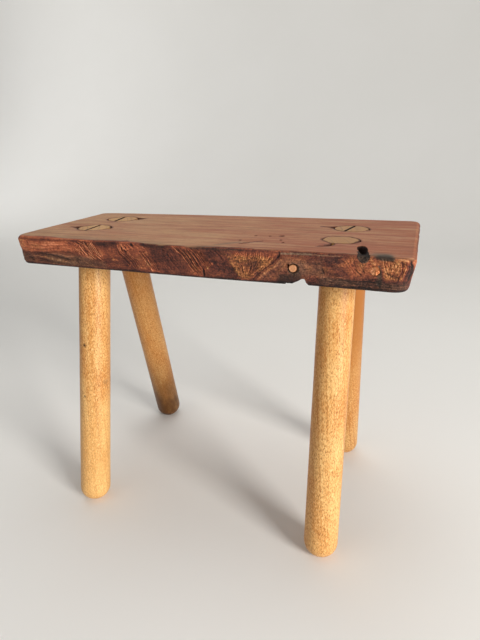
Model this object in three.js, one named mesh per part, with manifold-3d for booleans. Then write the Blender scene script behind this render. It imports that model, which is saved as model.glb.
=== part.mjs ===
// Small staked stool: a slab of old timber with a natural front edge, standing on four
// splayed round legs. Each leg runs right through the slab. Its tenon is sawn open from
// above, spread by a thin wedge and trimmed flush with the sitting face.
// Millimetres, +Z up. The origin is on the floor, under the middle of the stool's footprint.
// +X runs along the seat to its wide end, and -Y is the side with the natural edge.

import * as THREE from 'three';
import { mergeVertices } from 'three/addons/utils/BufferGeometryUtils.js';
import Module from 'manifold-3d';

// Seat slab
const SEAT_HEIGHT = 317.3;
const SEAT_LENGTH = 410.4;
const SEAT_THICKNESS = 31;
const SEAT_WIDTH_LEFT = 173;
const SEAT_WIDTH_RIGHT = 194.5;
// How far the middle of each end stands in front of the middle of the footprint
const SEAT_FORWARD_LEFT = 13;
const SEAT_FORWARD_RIGHT = 0;
// Both ends run askew: their front corners stand this much further in
const LEFT_END_SKEW = 7.2;
const RIGHT_END_SKEW = 0.4;
const BACK_EDGE_SWELL = 4;
const ARRIS_ROUND = 2.8;
const LEFT_ARRIS_ROUND = 6;
const LEFT_ARRIS_REACH = 26;
const RIGHT_ARRIS_ROUND = 4.5;
const RIGHT_ARRIS_REACH = 12;
const UNDERSIDE_ROUND = 2.6;

// The natural edge at the sitting face: places along the half length, each with its depth
// behind the straight line between the two front corners
const FRONT_HOLLOW = [[-1, 0], [-0.74, -2.6], [-0.4, -0.6], [0, -1.8], [0.3, 2], [0.5, 4.3], [0.78, 4.6], [1, 0]];
// The same edge at the underside, where it runs nearly straight
const FRONT_FOOT_HOLLOW = [[-1, 0], [-0.5, -0.6], [0, -1.4], [0.4, -0.4], [0.62, 1.6], [0.85, 0.6], [1, 0]];

// Corner rounding in plan at the sitting face and at the underside, and how far the corner
// steps in on its way down: along the length, then across the width
const FRONT_LEFT = { round: 18, footRound: 9, stepAlong: 3.5, stepAcross: 6 };
const FRONT_RIGHT = { round: 8, footRound: 16, stepAlong: 4.6, stepAcross: 5.5 };
const BACK_RIGHT = { round: 12, footRound: 13, stepAlong: 4.2, stepAcross: 3 };
const BACK_LEFT = { round: 10, footRound: 11, stepAlong: 3.5, stepAcross: 3 };

// Legs: round rods with rounded feet
const LEG_DIAMETER = 35;
const FOOT_ROUND = 16;
// How much of each rounded foot is levelled off, so that it stands flat
const FOOT_LEVELLED = 1;
const JOINT_GAP = 0.3;

// Tenon wedges: thin slips driven into a saw kerf that lies along the leg's axis
const WEDGE_THICKNESS = 1.3;
const WEDGE_TIP_THICKNESS = 0.6;
const WEDGE_DEPTH = 22;
const WEDGE_SUNK = 0.4;
const KERF_SPARE_DEPTH = 4;

// A tenon without a wedge is pared flat at the front and back, fading out downwards
const FLAT_DISTANCE = 15.3;
const FLAT_FADE_DEPTH = 28;

// Mortise mouths: the slab has split a little along its grain beside the tenons
const SPLIT_DEPTH = 12;
// How full the splits are, against straight lines that would just touch the mortise's wall
const SPLIT_FULLNESS = 0.8;

// Where each leg runs: its tenon's centre in the sitting face stands so far in from the near
// end of the seat and so far behind the line through the middles of both ends, and so does
// the spot where its axis meets the floor
const FRONT_LEFT_TENON_INSET = 64.7;
const FRONT_LEFT_TENON_BACK = -21.6;
const FRONT_LEFT_FOOT_INSET = 70.1;
const FRONT_LEFT_FOOT_BACK = -90.2;
const BACK_LEFT_TENON_INSET = 60.9;
const BACK_LEFT_TENON_BACK = 42;
const BACK_LEFT_FOOT_INSET = 63.7;
const BACK_LEFT_FOOT_BACK = 116.2;
const FRONT_RIGHT_TENON_INSET = 70.5;
const FRONT_RIGHT_TENON_BACK = -34.4;
const FRONT_RIGHT_FOOT_INSET = 64;
const FRONT_RIGHT_FOOT_BACK = -99.1;
const BACK_RIGHT_TENON_INSET = 68.7;
const BACK_RIGHT_TENON_BACK = 29.2;
const BACK_RIGHT_FOOT_INSET = 68.3;
const BACK_RIGHT_FOOT_BACK = 93.8;

// A check that leaves the front right mortise towards the front, as points from the tenon's
// centre along one side and back along the other
const CHECK_DEPTH = 10;
const CHECK_OUTLINE = [[-1.8, -16], [-3.6, -24.5], [-12.5, -33.7], [-6.2, -25.6], [-4.2, -16]];

// Knothole: a deep oval hole in the sitting face and a shallow trough that breaks the front
// arris, each set in from the right end and back from the front right corner
const KNOT_INSET = 46.3;
const KNOT_SETBACK = 26.75;
const KNOT_TURN = 9;
const KNOT_RADII = [5.4, 15.5, 19];
const TROUGH_INSET = 43.1;
const TROUGH_SETBACK = 7.25;
const TROUGH_RADII = [5.8, 16, 6];

// Chip broken out of the lower front edge: its place in from the right end, and its outline
// as distances from there, each with its height above the underside
const CHIP_INSET = 97.2;
const CHIP_OUTLINE = [
  [-12.4, -3], [-11.6, 0.3], [-10.4, 1.7], [-9, 1.3], [-7, 1.6], [-5, 1.3], [-1.9, 3.1], [0.9, 4.6],
  [3.4, 5.2], [5.6, 6.3], [6.4, 6], [7.3, 4.5], [7.5, 2.6], [9.1, 1.2], [10.3, 0], [11.4, -3],
];
const CHIP_DEPTH = 16;

// Dowels set into the front edge: in from the right end, and down from the sitting face
const INNER_DOWEL_INSET = 101.7;
const INNER_DOWEL_BELOW = 15.8;
const INNER_DOWEL_DIAMETER = 8.2;
const INNER_DOWEL_HOLE = 10.8;
const OUTER_DOWEL_INSET = 32.2;
const OUTER_DOWEL_BELOW = 12.9;
const OUTER_DOWEL_DIAMETER = 7.6;
const OUTER_DOWEL_HOLE = 8.8;
const DOWEL_LENGTH = 45;
const DOWEL_SUNK = 0.5;
const DOWEL_END_GAP = 0.4;
const DOWEL_CHAMFER = 0.6;

// Faceting
const SIDE_STEPS = 16;
const CORNER_STEPS = 6;
const ROUND_STEPS = 3;
const WALL_STEPS = 4;
const LEG_SIDES = 48;
const FOOT_STEPS = 7;
const DOWEL_SIDES = 24;

const wasm = await Module();
wasm.setup();

const seatFloor = SEAT_HEIGHT - SEAT_THICKNESS;
const halfLength = SEAT_LENGTH / 2;
const legRadius = LEG_DIAMETER / 2;

// Materials
const slabTimber = new THREE.MeshStandardMaterial({ color: 0x84503a, roughness: 0.62, metalness: 0 });
const legTimber = new THREE.MeshStandardMaterial({ color: 0xc8954f, roughness: 0.45, metalness: 0 });
const wedgeTimber = new THREE.MeshStandardMaterial({ color: 0x3a2318, roughness: 0.75, metalness: 0 });
const dowelTimber = new THREE.MeshStandardMaterial({ color: 0xc98554, roughness: 0.6, metalness: 0 });

/** The point in plan that stands so far in from one end and so far behind the seat's middle line. */
function seatPlace(end, inset, back) {
  return [end.way * (halfLength - inset), back - end.forward];
}

const LEFT = { way: -1, forward: SEAT_FORWARD_LEFT };
const RIGHT = { way: 1, forward: SEAT_FORWARD_RIGHT };

const LEGS = [
  {
    side: 'front_left',
    tenon: seatPlace(LEFT, FRONT_LEFT_TENON_INSET, FRONT_LEFT_TENON_BACK),
    foot: seatPlace(LEFT, FRONT_LEFT_FOOT_INSET, FRONT_LEFT_FOOT_BACK),
    wedge: { turn: 8.2, offset: 1.5 },
    splits: [9.7, 4],
  },
  {
    side: 'back_left',
    tenon: seatPlace(LEFT, BACK_LEFT_TENON_INSET, BACK_LEFT_TENON_BACK),
    foot: seatPlace(LEFT, BACK_LEFT_FOOT_INSET, BACK_LEFT_FOOT_BACK),
    wedge: { turn: 12, offset: 3.5 },
    splits: [2, 12],
  },
  {
    side: 'front_right',
    tenon: seatPlace(RIGHT, FRONT_RIGHT_TENON_INSET, FRONT_RIGHT_TENON_BACK),
    foot: seatPlace(RIGHT, FRONT_RIGHT_FOOT_INSET, FRONT_RIGHT_FOOT_BACK),
    wedge: null,
    splits: [1.5, 2],
  },
  {
    side: 'back_right',
    tenon: seatPlace(RIGHT, BACK_RIGHT_TENON_INSET, BACK_RIGHT_TENON_BACK),
    foot: seatPlace(RIGHT, BACK_RIGHT_FOOT_INSET, BACK_RIGHT_FOOT_BACK),
    wedge: { turn: -10, offset: 1.8 },
    splits: [9.5, 1.5],
  },
];

const EDGE_DOWELS = [
  {
    name: 'edge_dowel_inner',
    along: halfLength - INNER_DOWEL_INSET,
    below: INNER_DOWEL_BELOW,
    diameter: INNER_DOWEL_DIAMETER,
    hole: INNER_DOWEL_HOLE,
  },
  {
    name: 'edge_dowel_outer',
    along: halfLength - OUTER_DOWEL_INSET,
    below: OUTER_DOWEL_BELOW,
    diameter: OUTER_DOWEL_DIAMETER,
    hole: OUTER_DOWEL_HOLE,
  },
];

/** Turns a closed geometry into a solid that can be joined and cut. */
function toSolid(geometry) {
  const bare = geometry.clone();
  bare.deleteAttribute('normal');
  bare.deleteAttribute('uv');
  const merged = mergeVertices(bare, 1e-4);
  const vertProperties = new Float32Array(merged.attributes.position.array);
  const triVerts = new Uint32Array(merged.index.array);
  return new wasm.Manifold(new wasm.Mesh({ numProp: 3, vertProperties, triVerts }));
}

/** Turns a solid back into a named mesh. */
function toMesh(name, solid, material) {
  const { numProp, vertProperties, triVerts } = solid.getMesh();
  const positions = new Float32Array((vertProperties.length / numProp) * 3);
  for (let i = 0; i < positions.length / 3; i += 1) {
    positions.set(vertProperties.subarray(i * numProp, i * numProp + 3), i * 3);
  }
  const geometry = new THREE.BufferGeometry();
  geometry.setAttribute('position', new THREE.BufferAttribute(positions, 3));
  geometry.setIndex(new THREE.BufferAttribute(new Uint32Array(triVerts), 1));
  geometry.computeVertexNormals();
  const mesh = new THREE.Mesh(geometry, material);
  mesh.name = name;
  return mesh;
}

/** Straight-line blend between two numbers. */
function lerp(a, b, t) {
  return a + (b - a) * t;
}

/** Height of a smooth curve through [place, value] knots. */
function throughKnots(knots, place) {
  const curve = new THREE.SplineCurve(knots.map(([x, y]) => new THREE.Vector2(x, y)));
  const last = knots.length - 1;
  let k = 0;
  while (k < last - 1 && place > knots[k + 1][0]) k += 1;
  const within = (place - knots[k][0]) / (knots[k + 1][0] - knots[k][0]);
  return curve.getPoint((k + THREE.MathUtils.clamp(within, 0, 1)) / last).y;
}

/** The four sharp corners of the slab in plan, level 0 at the sitting face and 1 at the underside. */
function sharpCorners(level) {
  const frontOfLeft = -SEAT_FORWARD_LEFT - SEAT_WIDTH_LEFT / 2;
  const frontOfRight = -SEAT_FORWARD_RIGHT - SEAT_WIDTH_RIGHT / 2;
  const corners = [
    { x: -halfLength + LEFT_END_SKEW, y: frontOfLeft, inX: 1, inY: 1, form: FRONT_LEFT },
    { x: halfLength - RIGHT_END_SKEW, y: frontOfRight, inX: -1, inY: 1, form: FRONT_RIGHT },
    { x: halfLength, y: frontOfRight + SEAT_WIDTH_RIGHT, inX: -1, inY: -1, form: BACK_RIGHT },
    { x: -halfLength, y: frontOfLeft + SEAT_WIDTH_LEFT, inX: 1, inY: -1, form: BACK_LEFT },
  ];
  return corners.map(({ x, y, inX, inY, form }) => ({
    point: new THREE.Vector2(x + inX * form.stepAlong * level, y + inY * form.stepAcross * level),
    round: lerp(form.round, form.footRound, level),
  }));
}

/** How far a point of a side stands behind its chord: the natural edge and the swelled back edge. */
function hollowOf(side, t, level) {
  if (side === 0) {
    const place = t * 2 - 1;
    return lerp(throughKnots(FRONT_HOLLOW, place), throughKnots(FRONT_FOOT_HOLLOW, place), level);
  }
  if (side === 2) return -BACK_EDGE_SWELL * 4 * t * (1 - t);
  return 0;
}

/** A point on one side of the slab, t running from one sharp corner to the next. */
function sidePoint(corners, side, t, level) {
  const from = corners[side].point;
  const to = corners[(side + 1) % 4].point;
  const along = to.clone().sub(from).normalize();
  const inward = new THREE.Vector2(-along.y, along.x);
  return from.clone().lerp(to, t).addScaledVector(inward, hollowOf(side, t, level));
}

/** The slab's outline at one level, counter-clockwise, with rounded corners. */
function outline(level) {
  const corners = sharpCorners(level);
  const points = [];
  for (let side = 0; side < 4; side += 1) {
    const next = (side + 1) % 4;
    const length = corners[side].point.distanceTo(corners[next].point);
    const start = corners[side].round / length;
    const end = 1 - corners[next].round / length;
    for (let i = 0; i < SIDE_STEPS; i += 1) {
      points.push(sidePoint(corners, side, lerp(start, end, i / SIDE_STEPS), level));
    }
    const nextLength = corners[next].point.distanceTo(corners[(side + 2) % 4].point);
    const before = sidePoint(corners, side, end, level);
    const after = sidePoint(corners, next, corners[next].round / nextLength, level);
    const bend = new THREE.QuadraticBezierCurve(before, corners[next].point, after);
    for (let i = 0; i < CORNER_STEPS; i += 1) points.push(bend.getPoint(i / CORNER_STEPS));
  }
  return points;
}

/** Outward unit normal of a closed counter-clockwise outline at point i. */
function outward(points, i) {
  const before = points[(i + points.length - 1) % points.length];
  const after = points[(i + 1) % points.length];
  const along = after.clone().sub(before).normalize();
  return new THREE.Vector2(along.y, -along.x);
}

/** Radius of the upper arris: small along the seat, softer round both ends. */
function arrisRound(x) {
  const fromLeft = THREE.MathUtils.smoothstep(halfLength + x, 0, LEFT_ARRIS_REACH);
  const fromRight = THREE.MathUtils.smoothstep(halfLength - x, 0, RIGHT_ARRIS_REACH);
  return lerp(LEFT_ARRIS_ROUND, ARRIS_ROUND, fromLeft) + lerp(RIGHT_ARRIS_ROUND - ARRIS_ROUND, 0, fromRight);
}

/** One ring of the slab's wall: depthOf and insetOf take the arris radius at each point. */
function wallRing(depthOf, insetOf) {
  const top = outline(0);
  return top.map((start, i) => {
    const radius = arrisRound(start.x);
    const depth = depthOf(radius);
    const level = outline(depth / SEAT_THICKNESS);
    const point = level[i].addScaledVector(outward(level, i), -insetOf(radius));
    return new THREE.Vector3(point.x, point.y, SEAT_HEIGHT - depth);
  });
}

/** The slab before any hole is cut, lofted through its rings from the top down. */
function slabBlank() {
  const rings = [];
  for (let i = 0; i <= ROUND_STEPS; i += 1) {
    const angle = (i / ROUND_STEPS) * (Math.PI / 2);
    rings.push(wallRing((r) => r * (1 - Math.cos(angle)), (r) => r * (1 - Math.sin(angle))));
  }
  const lowest = SEAT_THICKNESS - UNDERSIDE_ROUND;
  for (let i = 1; i < WALL_STEPS; i += 1) {
    rings.push(wallRing((r) => lerp(r, lowest, i / WALL_STEPS), () => 0));
  }
  for (let i = 0; i <= ROUND_STEPS; i += 1) {
    const angle = (i / ROUND_STEPS) * (Math.PI / 2);
    const depth = lowest + UNDERSIDE_ROUND * Math.sin(angle);
    rings.push(wallRing(() => depth, () => UNDERSIDE_ROUND * (1 - Math.cos(angle))));
  }
  return toSolid(loft(rings));
}

/** A closed body through equal rings of points, each counter-clockwise from above, top ring first. */
function loft(rings) {
  const count = rings[0].length;
  const positions = rings.flat().flatMap((p) => [p.x, p.y, p.z]);
  const index = [];
  for (let r = 0; r < rings.length - 1; r += 1) {
    for (let i = 0; i < count; i += 1) {
      const a = r * count + i;
      const b = r * count + ((i + 1) % count);
      index.push(a, a + count, b, b, a + count, b + count);
    }
  }
  const flat = (ring) => ring.map((p) => new THREE.Vector2(p.x, p.y));
  const lastStart = (rings.length - 1) * count;
  for (const [a, b, c] of THREE.ShapeUtils.triangulateShape(flat(rings[0]), [])) index.push(a, b, c);
  for (const [a, b, c] of THREE.ShapeUtils.triangulateShape(flat(rings.at(-1)), [])) {
    index.push(lastStart + a, lastStart + c, lastStart + b);
  }
  const geometry = new THREE.BufferGeometry();
  geometry.setAttribute('position', new THREE.Float32BufferAttribute(positions, 3));
  geometry.setIndex(index);
  return geometry;
}

/** A big block whose lower face lies at height z: what it cuts away is everything above. */
function blockAbove(z) {
  const size = SEAT_LENGTH * 2;
  return toSolid(new THREE.BoxGeometry(size, size, size).translate(0, 0, z + size / 2));
}

/** A big block whose upper face lies at height z. */
function blockBelow(z) {
  const size = SEAT_LENGTH * 2;
  return toSolid(new THREE.BoxGeometry(size, size, size).translate(0, 0, z - size / 2));
}

/** The leg's own frame: origin where its axis meets the floor, local +Y up along the axis. */
function legFrame(leg) {
  const foot = new THREE.Vector3(...leg.foot, 0);
  const top = new THREE.Vector3(...leg.tenon, SEAT_HEIGHT);
  const axis = top.clone().sub(foot);
  const length = axis.length();
  axis.normalize();
  const turn = THREE.MathUtils.degToRad(leg.wedge ? leg.wedge.turn : 0);
  const across = new THREE.Vector3(-Math.sin(turn), Math.cos(turn), 0);
  across.addScaledVector(axis, -across.dot(axis)).normalize();
  const normal = new THREE.Vector3().crossVectors(axis, across);
  const matrix = new THREE.Matrix4().makeBasis(normal, axis, across).setPosition(foot);
  return { matrix, length, lean: axis.angleTo(new THREE.Vector3(0, 0, 1)) };
}

/** A round rod on the leg's axis, from one place on it to another, with plain ends. */
function rodOnAxis(radius, from, to) {
  return new THREE.CylinderGeometry(radius, radius, to - from, LEG_SIDES).translate(0, (from + to) / 2, 0);
}

/** Where the rounded foot ends on the leg's axis, so that the levelled spot is cut from its low side. */
function footEnd(lean) {
  const reach = legRadius - FOOT_ROUND;
  return (FOOT_ROUND + reach * Math.sin(lean) - FOOT_LEVELLED) / Math.cos(lean) - FOOT_ROUND;
}

/** The turned rod with its rounded foot, before its tenon is cut. */
function turnedRod(frame) {
  const end = footEnd(frame.lean);
  const top = frame.length + LEG_DIAMETER;
  const profile = [new THREE.Vector2(0, end)];
  for (let i = 0; i <= FOOT_STEPS; i += 1) {
    const angle = (i / FOOT_STEPS) * (Math.PI / 2);
    const x = legRadius - FOOT_ROUND + FOOT_ROUND * Math.sin(angle);
    profile.push(new THREE.Vector2(x, end + FOOT_ROUND * (1 - Math.cos(angle))));
  }
  profile.push(new THREE.Vector2(legRadius, top), new THREE.Vector2(0, top));
  return new THREE.LatheGeometry(profile, LEG_SIDES);
}

/** The two blocks that pare a wedgeless tenon flat, front and back, in the leg's frame. */
function paringBlocks(frame, spare) {
  const size = LEG_DIAMETER * 2;
  const fade = Math.atan2(legRadius - FLAT_DISTANCE, FLAT_FADE_DEPTH);
  return [-1, 1].map((way) => {
    const block = new THREE.BoxGeometry(size, size, size).translate(0, 0, way * (size / 2));
    block.rotateX(-way * fade);
    block.translate(0, frame.length, way * (FLAT_DISTANCE + spare));
    return toSolid(block.applyMatrix4(frame.matrix));
  });
}

/** A tapered slip in the leg's frame, its plane on the axis: half thicknesses at its top and tip. */
function slip(leg, frame, topThickness, tipThickness, depth, width) {
  const over = LEG_DIAMETER;
  const growth = (topThickness - tipThickness) / depth;
  const halfOver = (topThickness + growth * over) / 2;
  const shape = new THREE.Shape([
    new THREE.Vector2(-tipThickness / 2, -depth),
    new THREE.Vector2(tipThickness / 2, -depth),
    new THREE.Vector2(halfOver, over),
    new THREE.Vector2(-halfOver, over),
  ]);
  const geometry = new THREE.ExtrudeGeometry(shape, { depth: width, bevelEnabled: false });
  geometry.translate(leg.wedge.offset, frame.length, -width / 2);
  return toSolid(geometry.applyMatrix4(frame.matrix));
}

/** A prism with vertical walls under a plan outline, from above the sitting face to a depth. */
function prismInSeat(points, depth, centre) {
  const shape = new THREE.Shape(points.map(([x, y]) => new THREE.Vector2(x, y)));
  const geometry = new THREE.ExtrudeGeometry(shape, { depth: depth * 2, bevelEnabled: false });
  return toSolid(geometry.translate(centre[0], centre[1], SEAT_HEIGHT - depth));
}

/** Plan outline of a mortise mouth: a point split to the left and to the right, joined inside the bore. */
function mouthOutline(radius, [left, right]) {
  const corner = (split, way) => {
    const touch = Math.acos(radius / (radius + split));
    return { x: way * radius * Math.cos(touch), y: radius * Math.sin(touch) * SPLIT_FULLNESS };
  };
  const a = corner(left, -1);
  const b = corner(right, 1);
  return [[-radius - left, 0], [a.x, -a.y], [b.x, -b.y], [radius + right, 0], [b.x, b.y], [a.x, a.y]];
}

/** The angled mortise for one leg, with the pointed splits at its mouth. */
function mortise(leg) {
  const frame = legFrame(leg);
  const radius = legRadius + JOINT_GAP;
  const reach = SEAT_THICKNESS + LEG_DIAMETER;
  const bore = rodOnAxis(radius, frame.length - reach, frame.length + reach);
  let cut = toSolid(bore.applyMatrix4(frame.matrix));
  if (!leg.wedge) {
    for (const block of paringBlocks(frame, JOINT_GAP)) cut = cut.subtract(block);
  }
  return cut.add(prismInSeat(mouthOutline(radius, leg.splits), SPLIT_DEPTH, leg.tenon));
}

/** One leg: rod, foot levelled on the floor, tenon trimmed flush and sawn or pared. */
function legSolid(leg) {
  const frame = legFrame(leg);
  let solid = toSolid(turnedRod(frame).applyMatrix4(frame.matrix));
  solid = solid.subtract(blockAbove(SEAT_HEIGHT)).subtract(blockBelow(0));
  if (leg.wedge) {
    const spare = 2 * JOINT_GAP;
    const depth = WEDGE_DEPTH + KERF_SPARE_DEPTH;
    const kerf = slip(leg, frame, WEDGE_THICKNESS + spare, WEDGE_TIP_THICKNESS + spare, depth, LEG_DIAMETER * 2);
    return solid.subtract(kerf);
  }
  for (const block of paringBlocks(frame, 0)) solid = solid.subtract(block);
  return solid;
}

/** The wedge in one tenon: a tapered slip as wide as the tenon, trimmed just under the sitting face. */
function wedgeSolid(leg) {
  const frame = legFrame(leg);
  const blade = slip(leg, frame, WEDGE_THICKNESS, WEDGE_TIP_THICKNESS, WEDGE_DEPTH, LEG_DIAMETER * 2);
  const bore = rodOnAxis(legRadius, frame.length - LEG_DIAMETER, frame.length + LEG_DIAMETER);
  const within = toSolid(bore.applyMatrix4(frame.matrix));
  return blade.intersect(within).subtract(blockAbove(SEAT_HEIGHT - WEDGE_SUNK));
}

/** An oval hollow sunk from the sitting face, turned in plan. */
function ovalHollow(inset, setback, radii) {
  const geometry = new THREE.SphereGeometry(1, 28, 18).rotateX(Math.PI / 2);
  geometry.scale(radii[0], radii[1], radii[2]);
  geometry.rotateZ(THREE.MathUtils.degToRad(KNOT_TURN));
  const [x, y] = seatPlace(RIGHT, inset, setback - SEAT_WIDTH_RIGHT / 2);
  return toSolid(geometry.translate(x, y, SEAT_HEIGHT));
}

/** How far in front of the frame's middle the natural edge stands, at a place and a depth. */
function frontFace(x, depth) {
  const level = depth / SEAT_THICKNESS;
  const corners = sharpCorners(level);
  const from = corners[0].point.x;
  return sidePoint(corners, 0, (x - from) / (corners[1].point.x - from), level).y;
}

/** The chip in the lower front edge. */
function chip() {
  const shape = new THREE.Shape(CHIP_OUTLINE.map(([x, z]) => new THREE.Vector2(x, z)));
  const geometry = new THREE.ExtrudeGeometry(shape, { depth: CHIP_DEPTH * 2, bevelEnabled: false });
  geometry.rotateX(Math.PI / 2);
  const x = halfLength - CHIP_INSET;
  return toSolid(geometry.translate(x, frontFace(x, SEAT_THICKNESS) + CHIP_DEPTH, seatFloor));
}

/** A round bar lying across the seat, its front end at y, with a small chamfer at each end. */
function crossBar(diameter, length, chamfer, x, y, z) {
  const radius = diameter / 2;
  const profile = [
    new THREE.Vector2(0, 0),
    new THREE.Vector2(radius - chamfer, 0),
    new THREE.Vector2(radius, chamfer),
    new THREE.Vector2(radius, length - chamfer),
    new THREE.Vector2(radius - chamfer, length),
    new THREE.Vector2(0, length),
  ];
  return toSolid(new THREE.LatheGeometry(profile, DOWEL_SIDES).translate(x, y, z));
}

/** One dowel in the front edge. */
function dowelSolid({ along, below, diameter }) {
  const y = frontFace(along, below) + DOWEL_SUNK;
  return crossBar(diameter, DOWEL_LENGTH, DOWEL_CHAMFER, along, y, SEAT_HEIGHT - below);
}

/** The blind hole that one dowel sits in. */
function dowelHole({ along, below, hole }) {
  const mouth = DOWEL_LENGTH;
  const y = frontFace(along, below) + DOWEL_SUNK - mouth;
  const length = mouth + DOWEL_LENGTH + DOWEL_END_GAP;
  return crossBar(hole, length, DOWEL_CHAMFER, along, y, SEAT_HEIGHT - below);
}

/** The finished slab: every mortise, the check, the knothole, the chip and the dowel holes cut. */
function slabSolid() {
  const checked = LEGS.find((leg) => !leg.wedge);
  const cuts = [
    ...LEGS.map(mortise),
    prismInSeat(CHECK_OUTLINE, CHECK_DEPTH, checked.tenon),
    ovalHollow(KNOT_INSET, KNOT_SETBACK, KNOT_RADII),
    ovalHollow(TROUGH_INSET, TROUGH_SETBACK, TROUGH_RADII),
    chip(),
    ...EDGE_DOWELS.map(dowelHole),
  ];
  return cuts.reduce((slab, cut) => slab.subtract(cut), slabBlank());
}

const stool = new THREE.Group();
stool.add(toMesh('seat_slab', slabSolid(), slabTimber));
for (const leg of LEGS) {
  stool.add(toMesh(`leg_${leg.side}`, legSolid(leg), legTimber));
  if (leg.wedge) stool.add(toMesh(`wedge_${leg.side}`, wedgeSolid(leg), wedgeTimber));
}
for (const dowel of EDGE_DOWELS) {
  stool.add(toMesh(dowel.name, dowelSolid(dowel), dowelTimber));
}

// The footprint's middle stands on the origin
const footprint = new THREE.Box3().setFromObject(stool).getCenter(new THREE.Vector3());
stool.position.set(-footprint.x, -footprint.y, 0);
stool.updateMatrixWorld(true);

export default stool;
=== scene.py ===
"""A small staked stool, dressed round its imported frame.

A slab of old timber with a natural front edge stands on four splayed round legs. Each leg
runs right through the slab; three of the tenons are sawn and wedged, the fourth is pared.
Shapes are worked out in millimetres and put into the meshes in metres. +X runs along the
seat to its wide end, -Y is the side with the natural edge and +Z is up from the floor.
"""

import logging
import math
from dataclasses import dataclass, field
from enum import Enum, IntEnum
from typing import Sequence

import bpy
import numpy as np
from mathutils import Matrix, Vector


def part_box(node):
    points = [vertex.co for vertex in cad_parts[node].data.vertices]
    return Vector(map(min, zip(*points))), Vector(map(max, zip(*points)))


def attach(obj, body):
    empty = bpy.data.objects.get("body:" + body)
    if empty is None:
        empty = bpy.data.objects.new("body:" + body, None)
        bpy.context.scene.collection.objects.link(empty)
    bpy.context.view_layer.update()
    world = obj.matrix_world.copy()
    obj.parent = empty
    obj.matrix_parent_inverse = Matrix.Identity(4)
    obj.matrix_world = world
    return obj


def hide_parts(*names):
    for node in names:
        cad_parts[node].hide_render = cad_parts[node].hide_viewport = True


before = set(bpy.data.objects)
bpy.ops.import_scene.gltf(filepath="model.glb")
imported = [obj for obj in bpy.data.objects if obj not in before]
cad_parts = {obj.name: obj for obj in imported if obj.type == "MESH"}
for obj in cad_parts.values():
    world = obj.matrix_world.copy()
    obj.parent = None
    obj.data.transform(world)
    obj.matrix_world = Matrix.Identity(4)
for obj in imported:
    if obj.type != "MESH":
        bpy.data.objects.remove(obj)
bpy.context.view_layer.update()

Array = np.ndarray
Pair = tuple[float, float]
Triple = tuple[float, float, float]

LOG = logging.getLogger("stool")
MM = 0.001
TURN = 2 * math.pi

# Where the seat's own middle lies in the frame
SEAT_MIDDLE = np.array([-0.23, 0.15])
SITTING_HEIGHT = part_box("seat_slab")[1][2] / MM
UNDERSIDE_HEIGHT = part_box("seat_slab")[0][2] / MM
SEAT_THICKNESS = SITTING_HEIGHT - UNDERSIDE_HEIGHT

# The room that a tenon, wedge or dowel keeps to the wood round it
JOINT_GAP = 0.3

# The level direction of the legs' side turned from the light, darkened by painted shade
SHADED_SIDE = np.array([-0.94, -0.35])


class Side(Enum):
    """The slab's four sides, in the order in which its outline runs."""

    FRONT = 0
    RIGHT = 1
    BACK = 2
    LEFT = 3


class Paint(Enum):
    """The point attributes that the slab's finish reads."""

    PLANED = "planed"
    TONE = "tone"
    GOLD = "gold"
    GREY = "grey"
    CHAR = "char"
    HOLLOW = "hollow"
    SEAM = "seam"


class Seed(IntEnum):
    """Which noise shapes or colours what, so that no two surfaces share a pattern."""

    SIDE_WOBBLE = 31
    SAW_MARKS = 32
    SAW_DRIFT = 33
    PLANING = 41
    KNOT_WALL = 51
    BREAK_WALL = 52
    CHIP_CEILING = 53
    CRACK_WIDTH = 57
    TOP_TONE = 61
    BAND_BORDER = 62
    SPECKLE = 63
    DOWEL_CUT = 71
    DOWEL_FACETS = 73


# Helpers for numbers


def ease(value: Array, low: float, high: float) -> Array:
    """Rise smoothly from 0 at low to 1 at high, by the cubic 3t^2 - 2t^3.

    Args:
        value: The numbers to map.
        low: Where the rise starts. It may lie above high, and then the result falls.
        high: Where the rise ends.

    Returns:
        The eased numbers.
    """
    t = np.clip((value - low) / (high - low), 0.0, 1.0)
    return t * t * (3.0 - 2.0 * t)


def blend(a: Array, b: Array, share: Array) -> Array:
    """Straight-line blend from a to b."""
    return a + (b - a) * share


def through_knots(knots: Sequence[Pair], place: Array) -> Array:
    """Height of a smooth curve through [place, height] knots.

    Each stretch is the cubic whose slope at a knot is half the step between its neighbours.

    Args:
        knots: The knots, in rising order of place.
        place: Where to read the curve.

    Returns:
        The curve's height at each place.
    """
    at, height = np.array(knots).T
    k = np.clip(np.searchsorted(at, place, side="right") - 1, 0, len(at) - 2)
    t = np.clip((place - at[k]) / (at[k + 1] - at[k]), 0.0, 1.0)
    before = height[np.maximum(k - 1, 0)]
    after = height[np.minimum(k + 2, len(at) - 1)]
    start, end = height[k], height[k + 1]
    slope_in, slope_out = (end - before) / 2, (after - start) / 2
    cubic = (2 * start - 2 * end + slope_in + slope_out) * t**3
    square = (3 * end - 3 * start - 2 * slope_in - slope_out) * t**2
    return cubic + square + slope_in * t + start


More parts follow.
